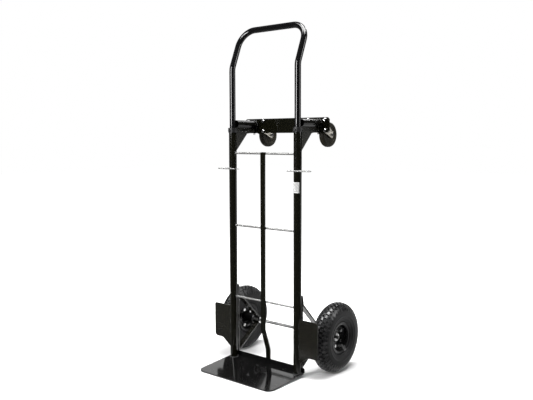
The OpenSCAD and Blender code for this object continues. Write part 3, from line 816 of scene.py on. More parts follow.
@dataclass
class CleanShell:
    """A solid of the truck with smooth rounds and, for sheet metal, slightly broken edges."""

    node: str
    body: str
    slot: Slot
    edge: float = 0.0
    flat_below: float = 1.0
    smooth_below: float = 32.0
    broken_above: float = 40.0
    merge: float = 0.002 * MM
    edge_steps: int = 2

    def build(self) -> bpy.types.Object:
        """Merge a copy of the solid's faces, round its edges and let it stand for the solid.

        Returns:
            The piece.
        """
        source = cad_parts[self.node]
        form = bmesh.new()
        form.from_mesh(source.data)
        bmesh.ops.remove_doubles(form, verts=form.verts, dist=self.merge)
        if self.edge:
            bmesh.ops.dissolve_limit(
                form, angle_limit=math.radians(self.flat_below), verts=form.verts, edges=form.edges,
                delimit={"NORMAL"},
            )
        mesh = bpy.data.meshes.new(self.node)
        form.to_mesh(mesh)
        form.free()
        for polygon in mesh.polygons:
            polygon.use_smooth = True
        mesh.set_sharp_from_angle(angle=math.radians(self.smooth_below))
        mesh = self.softened(mesh)
        mesh.materials.clear()
        mesh.materials.append(source.data.materials[0])
        return placed_piece(f"{self.node}_shell", mesh, self.body, [self.node])

    def softened(self, mesh: bpy.types.Mesh) -> bpy.types.Mesh:
        """Break the sharp edges of a sheet and let its large faces set the shading.

        Args:
            mesh: the merged solid.

        Returns:
            The softened mesh.
        """
        carrier = linked("carrier", mesh)
        if self.edge:
            bevel = carrier.modifiers.new("bevel", "BEVEL")
            bevel.width, bevel.segments = self.edge, self.edge_steps
            bevel.limit_method, bevel.angle_limit = "ANGLE", math.radians(self.broken_above)
            bevel.use_clamp_overlap = True
        shading = carrier.modifiers.new("shading", "WEIGHTED_NORMAL")
        shading.mode, shading.keep_sharp = "FACE_AREA", True
        graph = bpy.context.evaluated_depsgraph_get()
        result = bpy.data.meshes.new_from_object(carrier.evaluated_get(graph))
        carrier.modifiers.clear()
        bpy.data.objects.remove(carrier)
        return result


@dataclass
class Shells:
    """The tubes, rods and sheets of the truck that get a clean shell; edges in millimetres."""

    side_tubes: tuple[str, ...] = ("rail", "handle_socket")
    side_sheets: tuple[tuple[str, float], ...] = (
        ("wheel_guard", 0.5), ("axle_bracket", 0.7), ("gusset", 0.6),
    )
    middle_sheets: tuple[tuple[str, float], ...] = (
        ("toe_plate", 0.6), ("centre_strut", 0.8), ("caster_bar", 0.6),
    )
    wheel_pressings: tuple[str, ...] = ("outer_rim", "inner_rim", "hub")

    def build(self) -> None:
        """Make every shell."""
        for side in Side:
            for part in self.side_tubes:
                CleanShell(side.named(part), "frame", Slot.BLACK_PAINT).build()
            for part, edge in self.side_sheets:
                CleanShell(side.named(part), "frame", Slot.BLACK_PAINT, edge * MM).build()
            CleanShell(side.named("lock_pin"), side.named("pin"), Slot.SPRING_WIRE).build()
            for part in self.wheel_pressings:
                CleanShell(side.named(part), side.named("wheel"), Slot.RIM_PAINT).build()
            roller, swivel = side.named("caster_roller"), side.named("caster_swivel")
            CleanShell(side.named("caster_wheel"), roller, Slot.CASTER_TREAD).build()
            CleanShell(side.named("caster_fork"), swivel, Slot.CASTER_ZINC).build()
        for rung in RUNGS:
            CleanShell(rung, "frame", Slot.ZINC_ROD).build()
        CleanShell("axle", "frame", Slot.BARE_STEEL).build()
        for part, edge in self.middle_sheets:
            CleanShell(part, "frame", Slot.BLACK_PAINT, edge * MM).build()
        CleanShell("handle_loop", "handle", Slot.BLACK_PAINT).build()


# ---------- layout read from the solids ----------


@dataclass
class Layout:
    """Main places of the frame, read from the solids, in metres."""

    rail_x: float = field(init=False)
    rail_y: float = field(init=False)
    rail_r: float = field(init=False)
    plate_front: float = field(init=False)
    plate_tilt: float = math.radians(3.0)
    plate_thickness: float = 4.5 * MM

    def __post_init__(self) -> None:
        """Read the rails and the toe plate."""
        low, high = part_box("right_rail")
        self.rail_x = (low.x + high.x) / 2
        self.rail_y = (low.y + high.y) / 2
        self.rail_r = (high.x - low.x) / 2
        self.plate_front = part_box("toe_plate")[0].y

    def deck(self, y: float) -> float:
        """Height of the toe plate's top face at a depth y."""
        rise = (y - self.plate_front) * math.tan(self.plate_tilt)
        return rise + self.plate_thickness / math.cos(self.plate_tilt)


# ---------- weld seams ----------


@dataclass(frozen=True)
class Stitches:
    """Short beads up an edge: how many, what share is welded, and how far they stay off its ends."""

    count: int
    share: float
    foot: float = 0.0
    head: float = 0.0

    def paths(self, x: float, y: float, low: float, high: float) -> list[Path]:
        """The beads' paths.

        Args:
            x: place across the truck.
            y: place in depth.
            low: height of the edge's lower end.
            high: height of its upper end.

        Returns:
            One path for each bead.
        """
        bottom, top = low + self.foot, high - self.head
        step = (top - bottom) / self.count
        paths = []
        for i in range(self.count):
            z = bottom + step * (i + 0.5 * (1 - self.share))
            paths.append([Vector((x, y, z)), Vector((x, y, z + step * self.share))])
        return paths


@dataclass
class WeldSeams:
    """Rippled weld beads along the joints of the frame.

    A standoff is how far a bead's line stays off the face that it runs along, and a
    depth is how far the line lies inside the face nearest to it.
    """

    layout: Layout
    bead: float = 1.9 * MM
    pitch: float = 2.3 * MM
    seed: int = 7
    flatness: float = 0.72
    sizes: Span = (0.86, 1.12)
    arc_step: float = 15.0
    fewest_steps: int = 8
    rung_steps: int = 24
    rung_standoff: float = 0.5 * MM
    foot_steps: int = 36
    foot_standoff: float = 0.6 * MM
    foot_arc: Span = (128.0, 284.0)
    plate_standoff: float = 0.3 * MM
    sheet_standoff: float = 0.2 * MM
    guard: Stitches = Stitches(3, 0.4, 40 * MM, 6 * MM)
    guard_standoff: float = 0.3 * MM
    bracket: Stitches = Stitches(4, 0.36, 12 * MM, 4 * MM)
    bracket_depth: float = 3.4 * MM
    axle_ring: float = 6.9 * MM
    axle_arc: Span = (-160.0, 130.0)
    gusset: Stitches = Stitches(1, 0.9, 6 * MM)
    gusset_height: float = 68 * MM
    gusset_standoff: float = 0.4 * MM
    gusset_depth: float = 0.1 * MM
    bar: Stitches = Stitches(1, 0.95, 0.0, 12 * MM)
    bar_height: float = 28 * MM
    bar_depth: float = 0.6 * MM
    socket_standoff: float = 0.4 * MM
    socket_depth: float = 0.5 * MM
    socket_arc: Span = (-60.0, 300.0)
    strut_lift: float = 3.4 * MM
    strut_share: float = 0.9
    strut_depth: float = 0.4 * MM
    strut_foot: Span = (18 * MM, 31 * MM)

    def rule(self) -> Rule:
        """Make the rule that lays overlapping ripples along a line.

        Returns:
            The rule.
        """
        r = Rule("weld_bead", {"Pitch": "Float", "Bead": "Float", "Seed": "Int", "Material": "Material"})
        line = r.node("GeometryNodeMeshToCurve", {}, {0: r.given("Geometry")})
        points = r.node(
            "GeometryNodeResampleCurve", {"mode": "LENGTH"}, {"Curve": line, "Length": r.given("Pitch")}
        )
        ripple = r.node("GeometryNodeMeshIcoSphere", {}, {"Radius": r.given("Bead"), "Subdivisions": 2})
        smooth = r.node("GeometryNodeSetShadeSmooth", {}, {0: ripple})
        turn = r.node(
            "FunctionNodeAlignRotationToVector",
            {"axis": "X"},
            {"Vector": r.node("GeometryNodeInputTangent")},
        )
        size = r.node(
            "FunctionNodeRandomValue", {"data_type": "FLOAT"},
            {2: self.sizes[0], 3: self.sizes[1], "Seed": r.given("Seed")}, output=1,
        )
        squashed = r.node("ShaderNodeCombineXYZ", {}, {0: self.flatness, 1: size, 2: size})
        r.closed(r.node(
            "GeometryNodeInstanceOnPoints", {},
            {"Points": points, "Instance": smooth, "Rotation": turn, "Scale": squashed},
        ))
        return r

    def arc(self, centre: Vector, radius: float, axis: Axis, span: Span, steps: int = 0) -> Path:
        """Arc round an axis.

        Args:
            centre: the arc's centre.
            radius: its radius.
            axis: the axis that it lies round.
            span: its first angle and the angle that it covers, in degrees.
            steps: how many steps it has, or 0 for one about every arc_step degrees.

        Returns:
            Points along the arc.
        """
        start, sweep = span
        steps = steps or max(self.fewest_steps, int(abs(sweep) / self.arc_step))
        return [
            centre + axis.spoke(radius, math.radians(start + sweep * i / steps)) for i in range(steps + 1)
        ]

    def rung_rings(self, side: Side) -> list[Path]:
        """Fillets where the rungs meet one rail, following the round of the tube.

        Args:
            side: the rail's side.

        Returns:
            One closed path for each rung.
        """
        paths = []
        at = self.layout
        for rung in RUNGS:
            low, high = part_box(rung)
            z, reach = (low.z + high.z) / 2, (high.z - low.z) / 2 + self.rung_standoff
            path = []
            for i in range(self.rung_steps + 1):
                a = 2 * math.pi * i / self.rung_steps
                y = reach * math.cos(a)
                x = at.rail_x - math.sqrt(at.rail_r ** 2 - y * y)
                path.append(Vector((side.sign * x, at.rail_y + y, z + reach * math.sin(a))))
            paths.append(path)
        return paths

    def foot_ring(self, side: Side) -> Path:
        """Bead round the foot of a rail on the toe plate.

        Args:
            side: the rail's side.

        Returns:
            Its path, on the slope of the plate.
        """
        at = self.layout
        centre = Vector((side.sign * at.rail_x, at.rail_y, 0.0))
        radius = at.rail_r + self.foot_standoff
        path = self.arc(centre, radius, Axis.Z, self.foot_arc, self.foot_steps)
        for point in path:
            point.z = at.deck(point.y) + self.plate_standoff
        return path

    def sheet_paths(self, side: Side) -> list[Path]:
        """Stitches that hold the wheel guard and the axle bracket of one side.

        Args:
            side: the side.

        Returns:
            Their paths.
        """
        at = self.layout
        paths = []
        off = self.sheet_standoff
        low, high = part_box(side.named("wheel_guard"))
        for y in (low.y - off, high.y + off):
            out = math.sqrt(at.rail_r ** 2 - (y - at.rail_y) ** 2) + self.guard_standoff
            paths += self.guard.paths(side.sign * (at.rail_x + out), y, low.z, high.z)
        low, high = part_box(side.named("axle_bracket"))
        for x in (low.x - off, high.x + off):
            paths += self.bracket.paths(x, at.rail_y + at.rail_r - self.bracket_depth, low.z, high.z)
        axle_low, axle_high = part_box("axle")
        centre = (axle_low + axle_high) / 2
        for x in (low.x, high.x):
            paths.append(self.arc(Vector((x, centre.y, centre.z)), self.axle_ring, Axis.X, self.axle_arc))
        return paths

    def socket_paths(self, side: Side) -> list[Path]:
        """Beads that hold the gusset and the handle socket of one side.

        Args:
            side: the side.

        Returns:
            Their paths.
        """
        at = self.layout
        paths = []
        low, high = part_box(side.named("gusset"))
        for x in (low.x - self.gusset_standoff, high.x + self.gusset_standoff):
            y = at.rail_y + at.rail_r - self.gusset_depth
            paths += self.gusset.paths(x, y, low.z, low.z + self.gusset_height)
            paths += self.bar.paths(x, high.y - self.bar_depth, high.z - self.bar_height, high.z)
        low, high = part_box(side.named("handle_socket"))
        centre = (low + high) / 2
        centre.y = high.y - self.socket_depth
        radius = (high.x - low.x) / 2 + self.socket_standoff
        paths.append(self.arc(centre, radius, Axis.Y, self.socket_arc))
        return paths

    def middle_paths(self) -> list[Path]:
        """Seams of the centre strut.

        Returns:
            Their paths: over and under each rung, and up both edges of the foot.
        """
        paths = []
        low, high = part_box("centre_strut")
        half = (high.x - low.x) / 2
        for rung in RUNGS:
            bottom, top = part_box(rung)
            y, z = bottom.y + self.strut_depth, (bottom.z + top.z) / 2
            for lift in (-self.strut_lift, self.strut_lift):
                if z + lift < high.z:
                    paths.append([Vector((s * half * self.strut_share, y, z + lift)) for s in (-1, 1)])
        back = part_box("toe_plate")[1].y + self.plate_standoff
        for x in (-half - self.sheet_standoff, half + self.sheet_standoff):
            paths.append([Vector((x, back, z)) for z in self.strut_foot])
        return paths

    def build(self) -> bpy.types.Object:
        """Lay all beads on the frame.

        Returns:
            The piece.
        """
        paths = []
        for side in Side:
            paths += self.rung_rings(side) + [self.foot_ring(side)]
            paths += self.sheet_paths(side) + self.socket_paths(side)
        form = bmesh.new()
        for path in paths + self.middle_paths():
            verts = [form.verts.new(point) for point in path]
            for a, b in zip(verts, verts[1:]):
                form.edges.new((a, b))
        lines = bpy.data.meshes.new("weld_lines")
        form.to_mesh(lines)
        form.free()
        mesh = self.rule().grown(lines, {
            "Pitch": self.pitch, "Bead": self.bead, "Seed": self.seed, "Material": made(SEAM_ENAMEL),
        })
        return placed_piece("weld_seams", mesh, "frame")


# ---------- main wheels ----------


def lathe(form: bmesh.types.BMesh, profile: Sequence[Span], hub: Vector, steps: int) -> None:
    """Spin a closed profile about an axis along X.

    Args:
        form: the bmesh to add to.
        profile: closed loop of (offset along X, radius).
        hub: a point on the axis.
        steps: how many steps go round the axis.
    """
    rings = []
    for i in range(steps):
        a = 2 * math.pi * i / steps
        rings.append(
            [form.verts.new(hub + Vector((x, r * math.sin(a), r * math.cos(a)))) for x, r in profile]
        )
    skinned(form, rings + rings[:1])


@dataclass(frozen=True)
class BlockRow:
    """One kind of tread block: its shape across the tyre, and how far its row is turned.

    stations holds (distance from the crown along the surface, start, end), in
    millimetres, the last two along the rolling direction. phase is a share of the
    step from one block to the next.
    """

    name: str
    stations: tuple[Triple, ...]
    phase: float
    depth: float = 4.6
    taper: float = 0.7


@dataclass
class TreadedTyre:
    """Pneumatic tyre: ribbed side walls and rows of chunky tread blocks.

    Sizes are in millimetres. A profile holds (offset along the axle, radius) of one half.
    """

    side: Side
    radius: float = 133.0
    pitches: int = 44
    segments: int = 132
    sunk: float = 0.05
    crown: Profile = (
        (0, 132.9), (7, 132.2), (10.5, 132.0), (16, 129.6), (22, 125.9), (27, 120.9), (31, 114.9),
        (34, 107.4), (35.4, 100.0), (35.9, 92.0),
    )
    outside: Profile = (
        (12.6, 49.5), (19.4, 49.5), (22.6, 52.0), (23.1, 60.0), (24.6, 62.0), (26.0, 63.6), (26.9, 63.8),
        (28.0, 65.6), (28.1, 66.8), (30.2, 70.4), (31.6, 73.0), (32.3, 73.4), (33.1, 75.6), (33.0, 76.4),
        (34.6, 81.0), (35.1, 84.0), (35.5, 84.4), (35.8, 87.0), (35.4, 87.6), (35.7, 92.0), (35.0, 99.0),
        (34.4, 102.0), (33.0, 106.0), (30.6, 110.6), (27.0, 115.4), (22.5, 119.8), (17.0, 123.4),
        (11.0, 126.0), (5.0, 127.6), (0.0, 128.0),
    )
    inside: Profile = (
        (0.0, 121.5), (7.0, 121.0), (15.0, 118.0), (23.0, 112.0), (28.5, 102.0), (30.0, 92.0),
        (28.6, 82.0), (24.0, 73.0), (14.1, 63.0),
    )
    rows: tuple[BlockRow, ...] = (
        BlockRow("centre", (
            (0.0, -6.6, 3.4), (3.0, -5.2, 5.6), (6.6, -7.0, 4.2), (8.4, -5.2, 3.0),
        ), 0.0, 4.2),
        BlockRow("inner", (
            (11.2, -6.4, 5.0), (15.0, -3.6, 7.6), (18.6, -6.2, 5.6), (21.0, -5.0, 4.6),
        ), 0.5, 4.4),
        BlockRow("shoulder", (
            (24.0, -6.2, 5.6), (28.0, -4.8, 7.0), (32.5, -6.4, 5.8), (38.0, -5.8, 5.2),
            (43.5, -5.2, 4.6), (49.0, -4.0, 3.6),
        ), 0.0),
        BlockRow("notch", (
            (31.0, -1.9, 1.9), (35.0, -2.1, 2.1), (39.5, -1.6, 1.6),
        ), 0.5, 3.4),
    )

    def surface(self, distance: float, depth: float) -> Span:
        """Point on or under the crown.

        Args:
            distance: millimetres along the surface from the middle.
            depth: millimetres below the surface.

        Returns:
            Offset along the axle and radius, in millimetres.
        """
        left = distance
        for (x0, r0), (x1, r1) in zip(self.crown, self.crown[1:]):
            length = math.hypot(x1 - x0, r1 - r0)
            if left <= length or (x1, r1) == self.crown[-1]:
                break
            left -= length
        out, up = (x1 - x0) / length, (r1 - r0) / length
        return x0 + out * left + up * depth, r0 + up * left - out * depth

    def corner(self, distance: float, depth: float, along: float, mirror: float) -> Vector:
        """Corner of a block that is set at the top of a wheel whose hub is the origin.

        Args:
            distance: millimetres along the surface from the middle.
            depth: millimetres below the surface.
            along: millimetres in the rolling direction.
            mirror: -1 for the other half of the tread.

        Returns:
            The corner's place, in metres.
        """
        x, r = self.surface(distance, depth)
        turn = along / self.radius
        return Vector((mirror * x, r * math.sin(turn), r * math.cos(turn))) * MM

    def block(self, row: BlockRow, mirror: float) -> bpy.types.Object:
        """One tread block, wider at its foot.

        Args:
            row: the block's shape.
            mirror: -1 for the other half of the tread.

        Returns:
            A helper object that holds the block.
        """
        form = bmesh.new()
        loops = []
        slips = {0: -row.taper, len(row.stations) - 1: row.taper}
        for i, (distance, start, end) in enumerate(row.stations):
            foot = distance + slips.get(i, 0.0)
            points = [self.corner(distance, self.sunk, t, mirror) for t in (start, end)]
            for t in (end + row.taper, start - row.taper):
                points.append(self.corner(foot, row.depth, t, mirror))
            loops.append([form.verts.new(point) for point in points])
        skinned(form, loops, capped=True)
        return linked(f"{row.name}_block", mesh_from(form, row.name, smooth=False))

    def rule(self) -> Rule:
        """Make the rule that repeats a block round the hub.

        Returns:
            The rule.
        """
        r = Rule(
            "tread_row",
            {"Blocks": "Int", "Phase": "Float", "Hub": "Vector", "Block": "Object", "Material": "Material"},
        )
        points = r.node("GeometryNodePoints", {}, {"Count": r.given("Blocks"), "Position": r.given("Hub")})
        step = r.node("ShaderNodeMath", {"operation": "DIVIDE"}, {0: 2 * math.pi, 1: r.given("Blocks")})
        turn = (r.node("GeometryNodeInputIndex") + r.given("Phase")) * step
        euler = r.node("ShaderNodeCombineXYZ", {}, {0: turn})
        rotation = r.node("FunctionNodeEulerToRotation", {}, {0: euler})
        block = r.node("GeometryNodeObjectInfo", {}, {"Object": r.given("Block")}, "Geometry")
        r.closed(r.node(
            "GeometryNodeInstanceOnPoints", {}, {"Points": points, "Instance": block, "Rotation": rotation}
        ))
        return r

    def carcass(self, hub: Vector) -> bpy.types.Mesh:
        """Body of the tyre under the blocks, with ridges on its side walls; its rubber is darker than the
        blocks', which paints shade into the gaps between them.

        Args:
            hub: the middle of the wheel.

        Returns:
            The body's mesh.
        """
        outer = [*self.outside, *((-x, r) for x, r in reversed(self.outside[:-1]))]
        inner = [*((-x, r) for x, r in reversed(self.inside[1:])), *self.inside]
        form = bmesh.new()
        lathe(form, [(x * MM, r * MM) for x, r in outer + inner], hub, self.segments)
        mesh = mesh_from(form, "carcass")
        mesh.materials.append(made(TYRE_RUBBER))
        return mesh

    def build(self) -> bpy.types.Object:
        """Make the tyre of this side.

        Returns:
            The piece.
        """
        low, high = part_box(self.side.named("tyre"))
        hub = (low + high) / 2
        rule = self.rule()
        parts = [self.carcass(hub)]
        for row in self.rows:
            for mirror in (-1.0, 1.0):
                helper = self.block(row, mirror)
                phase = row.phase + (0.5 if mirror > 0 else 0.0)
                parts.append(rule.grown(bpy.data.meshes.new("empty"), {
                    "Blocks": self.pitches, "Phase": phase, "Hub": hub, "Block": helper,
                    "Material": made(LIT_BLOCK_RUBBER),
                }))
                bpy.data.objects.remove(helper)
        name = self.side.named("tyre")
        return placed_piece(
            f"{name}_treaded", joined(name, parts), self.side.named("wheel"), [name]
        )


# ---------- screws ----------


# A share of half the flats that lies outside the corners, so that nothing is cut off.
UNCUT = 2.0


@dataclass(frozen=True)
class HexSize:
    """Size of a hexagon head or nut and of the shank below its seat, in metres."""

    flats: float
    height: float
    shank: float
    length: float


@dataclass
class HexScrews:
    """A set of equal hexagon heads or nuts with chamfered corners and a washer face."""

    size: HexSize
    spots: Sequence[Vector]
    turn: Triple
    sides: int = 24
    thread_pitch: float = 1.2 * MM
    tip: float = 0.8 * MM
    threaded_above: float = 6 * MM
    unthreaded: float = 2 * MM

    def shank_rings(self) -> list[Span]:
        """Outline of the shank, with a thread where it is long enough.

        Returns:
            (height, radius) from the tip to the seat.
        """
        radius, pitch = self.size.shank / 2, self.thread_pitch
        z = self.tip - self.size.length
        rings = [(-self.size.length, radius * 0.72), (z, radius)]
        while z + pitch < -self.unthreaded and self.size.length > self.threaded_above:
            rings += [(z + pitch * 0.5, radius * 0.88), (z + pitch, radius)]
            z += pitch
        return rings + [(0.0, radius)]

    def head_rings(self) -> list[Span]:
        """Outline of the head: the washer face, the chamfered hexagon and the dished top.

        Returns:
            (height, share of half the flats at which the hexagon is cut off).
        """
        top = self.size.height
        return [
            (0.0, 0.97), (0.3 * MM, 0.97), (0.3 * MM, 1.10), (0.9 * MM, UNCUT), (top - 0.9 * MM, UNCUT),
            (top - 0.4 * MM, 1.10), (top - 0.15 * MM, 1.04), (top, 0.94), (top - 0.25 * MM, 0.7),
        ]

    def head(self) -> bpy.types.Object:
        """One head along +Z, with its seat at the origin and the shank below it.

        Returns:
            A helper object that holds the head.
        """
        half, sixth = self.size.flats / 2, math.pi / 3
        turns = [2 * math.pi * i / self.sides for i in range(self.sides)]
        hexagon = [half / math.cos((a + sixth / 2) % sixth - sixth / 2) for a in turns]
        levels = [(z, [radius] * self.sides) for z, radius in self.shank_rings()]
        levels += [(z, [min(r, half * share) for r in hexagon]) for z, share in self.head_rings()]
        form = bmesh.new()
        loops = [Axis.Z.loop(form, Vector((0.0, 0.0, z)), radii) for z, radii in levels]
        skinned(form, loops, capped=True)
        return linked("head", mesh_from(form, "head", smooth=False))

    def rule(self) -> Rule:
        """Make the rule that sets a head on every point of a mesh.

        Returns:
            The rule.
        """
        r = Rule("screw_set", {"Turn": "Vector", "Head": "Object", "Material": "Material"})
        points = r.node("GeometryNodeMeshToPoints", {}, {0: r.given("Geometry")})
        rotation = r.node("FunctionNodeEulerToRotation", {}, {0: r.given("Turn")})
        head = r.node("GeometryNodeObjectInfo", {}, {"Object": r.given("Head")}, "Geometry")
        r.closed(r.node(
            "GeometryNodeInstanceOnPoints", {}, {"Points": points, "Instance": head, "Rotation": rotation}
        ))
        return r

    def mesh(self) -> bpy.types.Mesh:
        """Set all heads.

        Returns:
            The heads of the set as one mesh.
        """
        base = bpy.data.meshes.new("spots")
        base.from_pydata([tuple(spot) for spot in self.spots], [], [])
        helper = self.head()
        grown = self.rule().grown(base, {"Turn": self.turn, "Head": helper, "Material": made(SCREW_ZINC)})
        bpy.data.objects.remove(helper)
        return grown


@dataclass
class Studs:
    """Threaded ends along +Y, with their tips on the spots."""

    spots: Sequence[Vector]
    diameter: float = 8 * MM
    length: float = 8 * MM
    thread_pitch: float = 1.25 * MM
    tip: float = 0.6 * MM
    flank: float = 0.62 * MM
    sides: int = 16

    def rings(self) -> list[Span]:
        """Outline of one stud.

        Returns:
            (depth behind the tip, radius) of each ring.
        """
        r, y = self.diameter / 2, self.tip
        rings = [(0.0, r * 0.7), (y, r * 0.97)]
        while y + self.thread_pitch < self.length:
            rings += [(y + self.flank, r * 0.86), (y + self.thread_pitch, r * 0.97)]
            y += self.thread_pitch
        return rings

    def mesh(self) -> bpy.types.Mesh:
        """Turn every stud.

        Returns:
            The studs as one mesh.
        """
        form = bmesh.new()
        for spot in self.spots:
            loops = [
                Axis.Y.loop(form, spot + Vector((0.0, y, 0.0)), [r] * self.sides) for y, r in self.rings()
            ]
            skinned(form, loops, capped=True)
        mesh = mesh_from(form, "studs", smooth=False)
        mesh.materials.append(made(SCREW_ZINC))
        return mesh


@dataclass
class Fasteners:
    """Screws and nuts of the caster plates and of the wheel rims."""

    plate_pitches: Span = (80 * MM, 40 * MM)
    plate_thickness: float = 3 * MM
    plate_head: HexSize = HexSize(12 * MM, 4.5 * MM, 8 * MM, 8 * MM)
    plate_nut: HexSize = HexSize(12.5 * MM, 6.5 * MM, 8 * MM, 4 * MM)
    stud_reach: float = 8.4 * MM
    rim_head: HexSize = HexSize(12 * MM, 5 * MM, 7 * MM, 14 * MM)
    rim_nut: HexSize = HexSize(12 * MM, 6 * MM, 6 * MM, 2 * MM)
    rim_circle: float = 34 * MM
    rim_phase: float = 18.0
    rim_count: int = 5
    rim_seat: float = 2.2 * MM
    rim_grip: float = 7.9 * MM

    def plate_spots(self, y: float) -> list[Vector]:
        """Places of the eight caster plate screws.

        Args:
            y: their depth.

        Returns:
            The places, four for each side.
        """
        spots = []
        dx, dz = self.plate_pitches
        for side in Side:
            low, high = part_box(side.named("caster_plate"))
            centre = (low + high) / 2
            for a in (-1, 1):
                for b in (-1, 1):
                    spots.append(Vector((centre.x + a * dx / 2, y, centre.z + b * dz / 2)))
        return spots

    def build_plates(self) -> None:
        """Make the heads behind the caster plates, and nuts and studs on the front of the bar."""
        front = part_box("caster_bar")[0].y
        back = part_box("left_caster_plate")[0].y + self.plate_thickness
        heads = HexScrews(self.plate_head, self.plate_spots(back), (-math.pi / 2, 0, 0))
        placed_piece("caster_plate_screws", heads.mesh(), "frame", ["caster_bolts"])
        nuts = HexScrews(self.plate_nut, self.plate_spots(front), (math.pi / 2, 0, 0))
        studs = Studs(self.plate_spots(front - self.stud_reach))
        mesh = joined("nuts", [nuts.mesh(), studs.mesh()])
        placed_piece("caster_plate_nuts", mesh, "frame", ["caster_nuts"])

    def build_rims(self, side: Side) -> None:
        """Make the screws that hold the rim halves of one wheel together.

        Args:
            side: the wheel's side.
        """
        low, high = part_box(side.named("tyre"))
        hub = (low + high) / 2
        spots = []
        for i in range(self.rim_count):
            a = math.radians(360 * i / self.rim_count + self.rim_phase)
            y, z = -self.rim_circle * math.sin(a), self.rim_circle * math.cos(a)
            spots.append(hub + Vector((side.sign * self.rim_seat, y, z)))
        heads = HexScrews(self.rim_head, spots, (0, side.sign * math.pi / 2, 0))
        inner = [spot - Vector((side.sign * self.rim_grip, 0, 0)) for spot in spots]
        nuts = HexScrews(self.rim_nut, inner, (0, -side.sign * math.pi / 2, 0))
        name = side.named("rim_bolts")
        placed_piece(
            side.named("rim_screws"), joined(name, [heads.mesh(), nuts.mesh()]), side.named("wheel"),
            [name],
        )


# ---------- studio ----------


MIDDLE = (0.0, 0.0, 0.7)
WHITE = (1.0, 1.0, 1.0, 1.0)


@dataclass(frozen=True)
class SoftBox:
    """A rectangular area lamp: places and size in metres, power in watts, spread in degrees."""

    name: str
    at: Triple
    aim: Triple
    size: Span
    power: float
    spread: float = 180.0

    def hang(self) -> None:
        """Put the lamp at its place, facing the point that it is aimed at."""
        data = bpy.data.lights.new(self.name, "AREA")
        data.shape = "RECTANGLE"
        data.size, data.size_y = self.size
        data.energy = self.power
        data.spread = math.radians(self.spread)
        at, aim = Vector(self.at), Vector(self.aim)
        turn = (aim - at).to_track_quat("-Z", "Y").to_matrix().to_4x4()
        linked(self.name, data).matrix_world = Matrix.Translation(at) @ turn


@dataclass(frozen=True)
class PaleRoom:
    """The world: white where it is seen, and for gloss a dim room with a bright wall behind."""

    name: str
    ahead: Triple
    wall_edge: Span = (0.55, 0.8)
    wall_foot: Span = (0.14, 0.26)
    wall_top: Span = (0.5, 0.62)
    wall_light: float = 0.95
    gloss_light: float = 0.04
    room_light: float = 0.25

    def world(self) -> bpy.types.World:
        """Build the world.

        Returns:
            The world.
        """
        world = bpy.data.worlds.new(self.name)
        world.use_nodes = True
        world.node_tree.nodes.clear()
        w = Board(world.node_tree)
        seen = (w.ray("Is Camera Ray") + w.ray("Is Transmission Ray")).clamped()
        glossy = w.ray("Is Glossy Ray")
        way = w.node("ShaderNodeTexCoord", output="Generated")
        rise = w.node("ShaderNodeSeparateXYZ", {}, {0: way}, "Z")
        band = rise.between(*self.wall_foot) * (1.0 - rise.between(*self.wall_top))
        wall = w.along(way, self.ahead).between(*self.wall_edge) * band * self.wall_light
        mirrored = glossy * (wall + self.gloss_light) + (1.0 - glossy) * self.room_light
        strength = (seen + (1.0 - seen) * mirrored).clamped()
        light = w.node("ShaderNodeBackground", {}, {"Color": WHITE, "Strength": strength})
        w.node("ShaderNodeOutputWorld", {}, {"Surface": light})
        return world


@dataclass(frozen=True)
class PaleFloor:
    """The floor's finish: it keeps soft shadows, clears to white far out and looks dim in gloss."""

    name: str
    ahead: Triple
    tone: float = 0.76
    clear_ring: Span = (0.28, 0.62)
    clear_light: float = 0.85
    gloss_ring: Span = (0.1, 0.35)
    gloss_light: float = 0.06
    slope: Span = (-0.6, 0.8)
    slope_light: float = 0.2
    corner_depth: Span = (-0.25, 0.15)
    corner_across: Span = (-0.2, 0.2)
    corner_light: float = 0.9

    def material(self) -> bpy.types.Material:
        """Build the material.

        Returns:
            The floor's finish.
        """
        s = Surface(self.name)
        depth = s.along(s.place, self.ahead)
        across = s.node("ShaderNodeSeparateXYZ", {}, {0: s.place}, "X")
        away = s.node("ShaderNodeVectorMath", {"operation": "LENGTH"}, {0: s.place}, "Value")
        pale = s.node("ShaderNodeBsdfDiffuse", {}, {"Color": (self.tone, self.tone, self.tone, 1.0)})
        cleared = s.ray("Is Camera Ray") * (away.between(*self.clear_ring) * self.clear_light)
        lift = s.node("ShaderNodeEmission", {}, {"Color": WHITE, "Strength": cleared})
        lit = s.node("ShaderNodeAddShader", {}, {0: pale, 1: lift})
        corner = depth.between(*self.corner_depth) * across.between(*self.corner_across)
        sloped = depth.between(*self.slope) * self.slope_light
        shine = sloped + self.gloss_light + corner * self.corner_light
        mirror = s.node("ShaderNodeEmission", {}, {"Color": WHITE, "Strength": shine})
        glossy = s.ray("Is Glossy Ray") * away.between(*self.gloss_ring)
        mixed = s.node("ShaderNodeMixShader", {}, {0: glossy, 1: lit, 2: mirror})
        s.node("ShaderNodeOutputMaterial", {}, {"Surface": mixed})
        return s.material


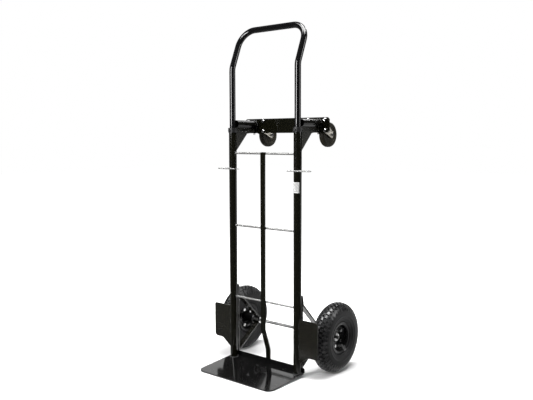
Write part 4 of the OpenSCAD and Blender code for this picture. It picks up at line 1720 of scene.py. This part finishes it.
@dataclass
class Studio:
    """The camera, a pale floor and room, a tall soft box in front and four smaller lamps."""

    camera_at: Triple = (1.5968, -1.96675, 0.8887)
    azimuth: float = 39.46
    pitch: float = -5.04
    roll: float = -0.14
    lens: float = 44.538011
    sensor: float = 36.0
    shift: Span = (-0.00124, -0.00638)
    clip: Span = (0.05, 100.0)
    floor_reach: float = 14.0
    floor_drop: float = 0.4 * MM
    lamps: tuple[SoftBox, ...] = (
        SoftBox("front_box", (-0.75, -3.3, 2.05), (0.0, 0.0, 2.05), (0.95, 2.1), 145.0),
        SoftBox("overhead", (0.5, 0.1, 3.2), MIDDLE, (1.7, 1.7), 140.0),
        SoftBox("left_high", (-0.7, -0.8, 2.4), (0.12, 0.1, 0.1), (0.9, 0.9), 2.6, 32.0),
        SoftBox("rear_high", (0.06, 2.3, 2.8), MIDDLE, (0.35, 0.35), 7.0),
        SoftBox("right_rear", (3.0, 1.6, 1.8), MIDDLE, (0.6, 1.8), 28.0),
    )

    @property
    def ahead(self) -> Triple:
        """The camera's direction, level with the floor."""
        a = math.radians(self.azimuth)
        return (-math.sin(a), math.cos(a), 0.0)

    def camera(self) -> None:
        """Place the camera."""
        data = bpy.data.cameras.new("camera")
        data.sensor_width, data.lens = self.sensor, self.lens
        data.shift_x, data.shift_y = self.shift
        data.clip_start, data.clip_end = self.clip
        a, e, roll = (math.radians(angle) for angle in (self.azimuth, self.pitch, self.roll))
        ahead = Vector((-math.sin(a) * math.cos(e), math.cos(a) * math.cos(e), math.sin(e)))
        right = Vector((math.cos(a), math.sin(a), 0.0))
        up = right.cross(ahead)
        c, s = math.cos(roll), math.sin(roll)
        right, up = right * c + up * s, up * c - right * s
        turn = Matrix((right, up, -ahead)).transposed().to_4x4()
        camera = linked("camera", data)
        camera.matrix_world = Matrix.Translation(Vector(self.camera_at)) @ turn
        bpy.context.scene.camera = camera

    def floor(self) -> None:
        """Lay the wide floor."""
        form = bmesh.new()
        bmesh.ops.create_grid(form, x_segments=1, y_segments=1, size=self.floor_reach)
        mesh = bpy.data.meshes.new("floor")
        form.to_mesh(mesh)
        form.free()
        mesh.materials.append(PaleFloor("pale_floor", self.ahead).material())
        floor = linked("floor", mesh)
        floor.location.z = -self.floor_drop

    def build(self) -> None:
        """Make the camera, the world, the floor and the lamps."""
        self.camera()
        bpy.context.scene.world = PaleRoom("studio", self.ahead).world()
        self.floor()
        for lamp in self.lamps:
            lamp.hang()
        bpy.context.scene.view_settings.view_transform = "Standard"
        LOG.info("studio ready with %d lamps", len(self.lamps))


def main() -> None:
    """Dress the truck, build its detailed pieces and the studio, logging what is made."""
    logging.basicConfig(level=logging.INFO, format="%(message)s")
    FinishPlan().dress()
    Shells().build()
    layout = Layout()
    WeldSeams(layout).build()
    fasteners = Fasteners()
    fasteners.build_plates()
    for side in Side:
        TreadedTyre(side).build()
        fasteners.build_rims(side)
    Studio().build()


if __name__ == "__main__":
    main()
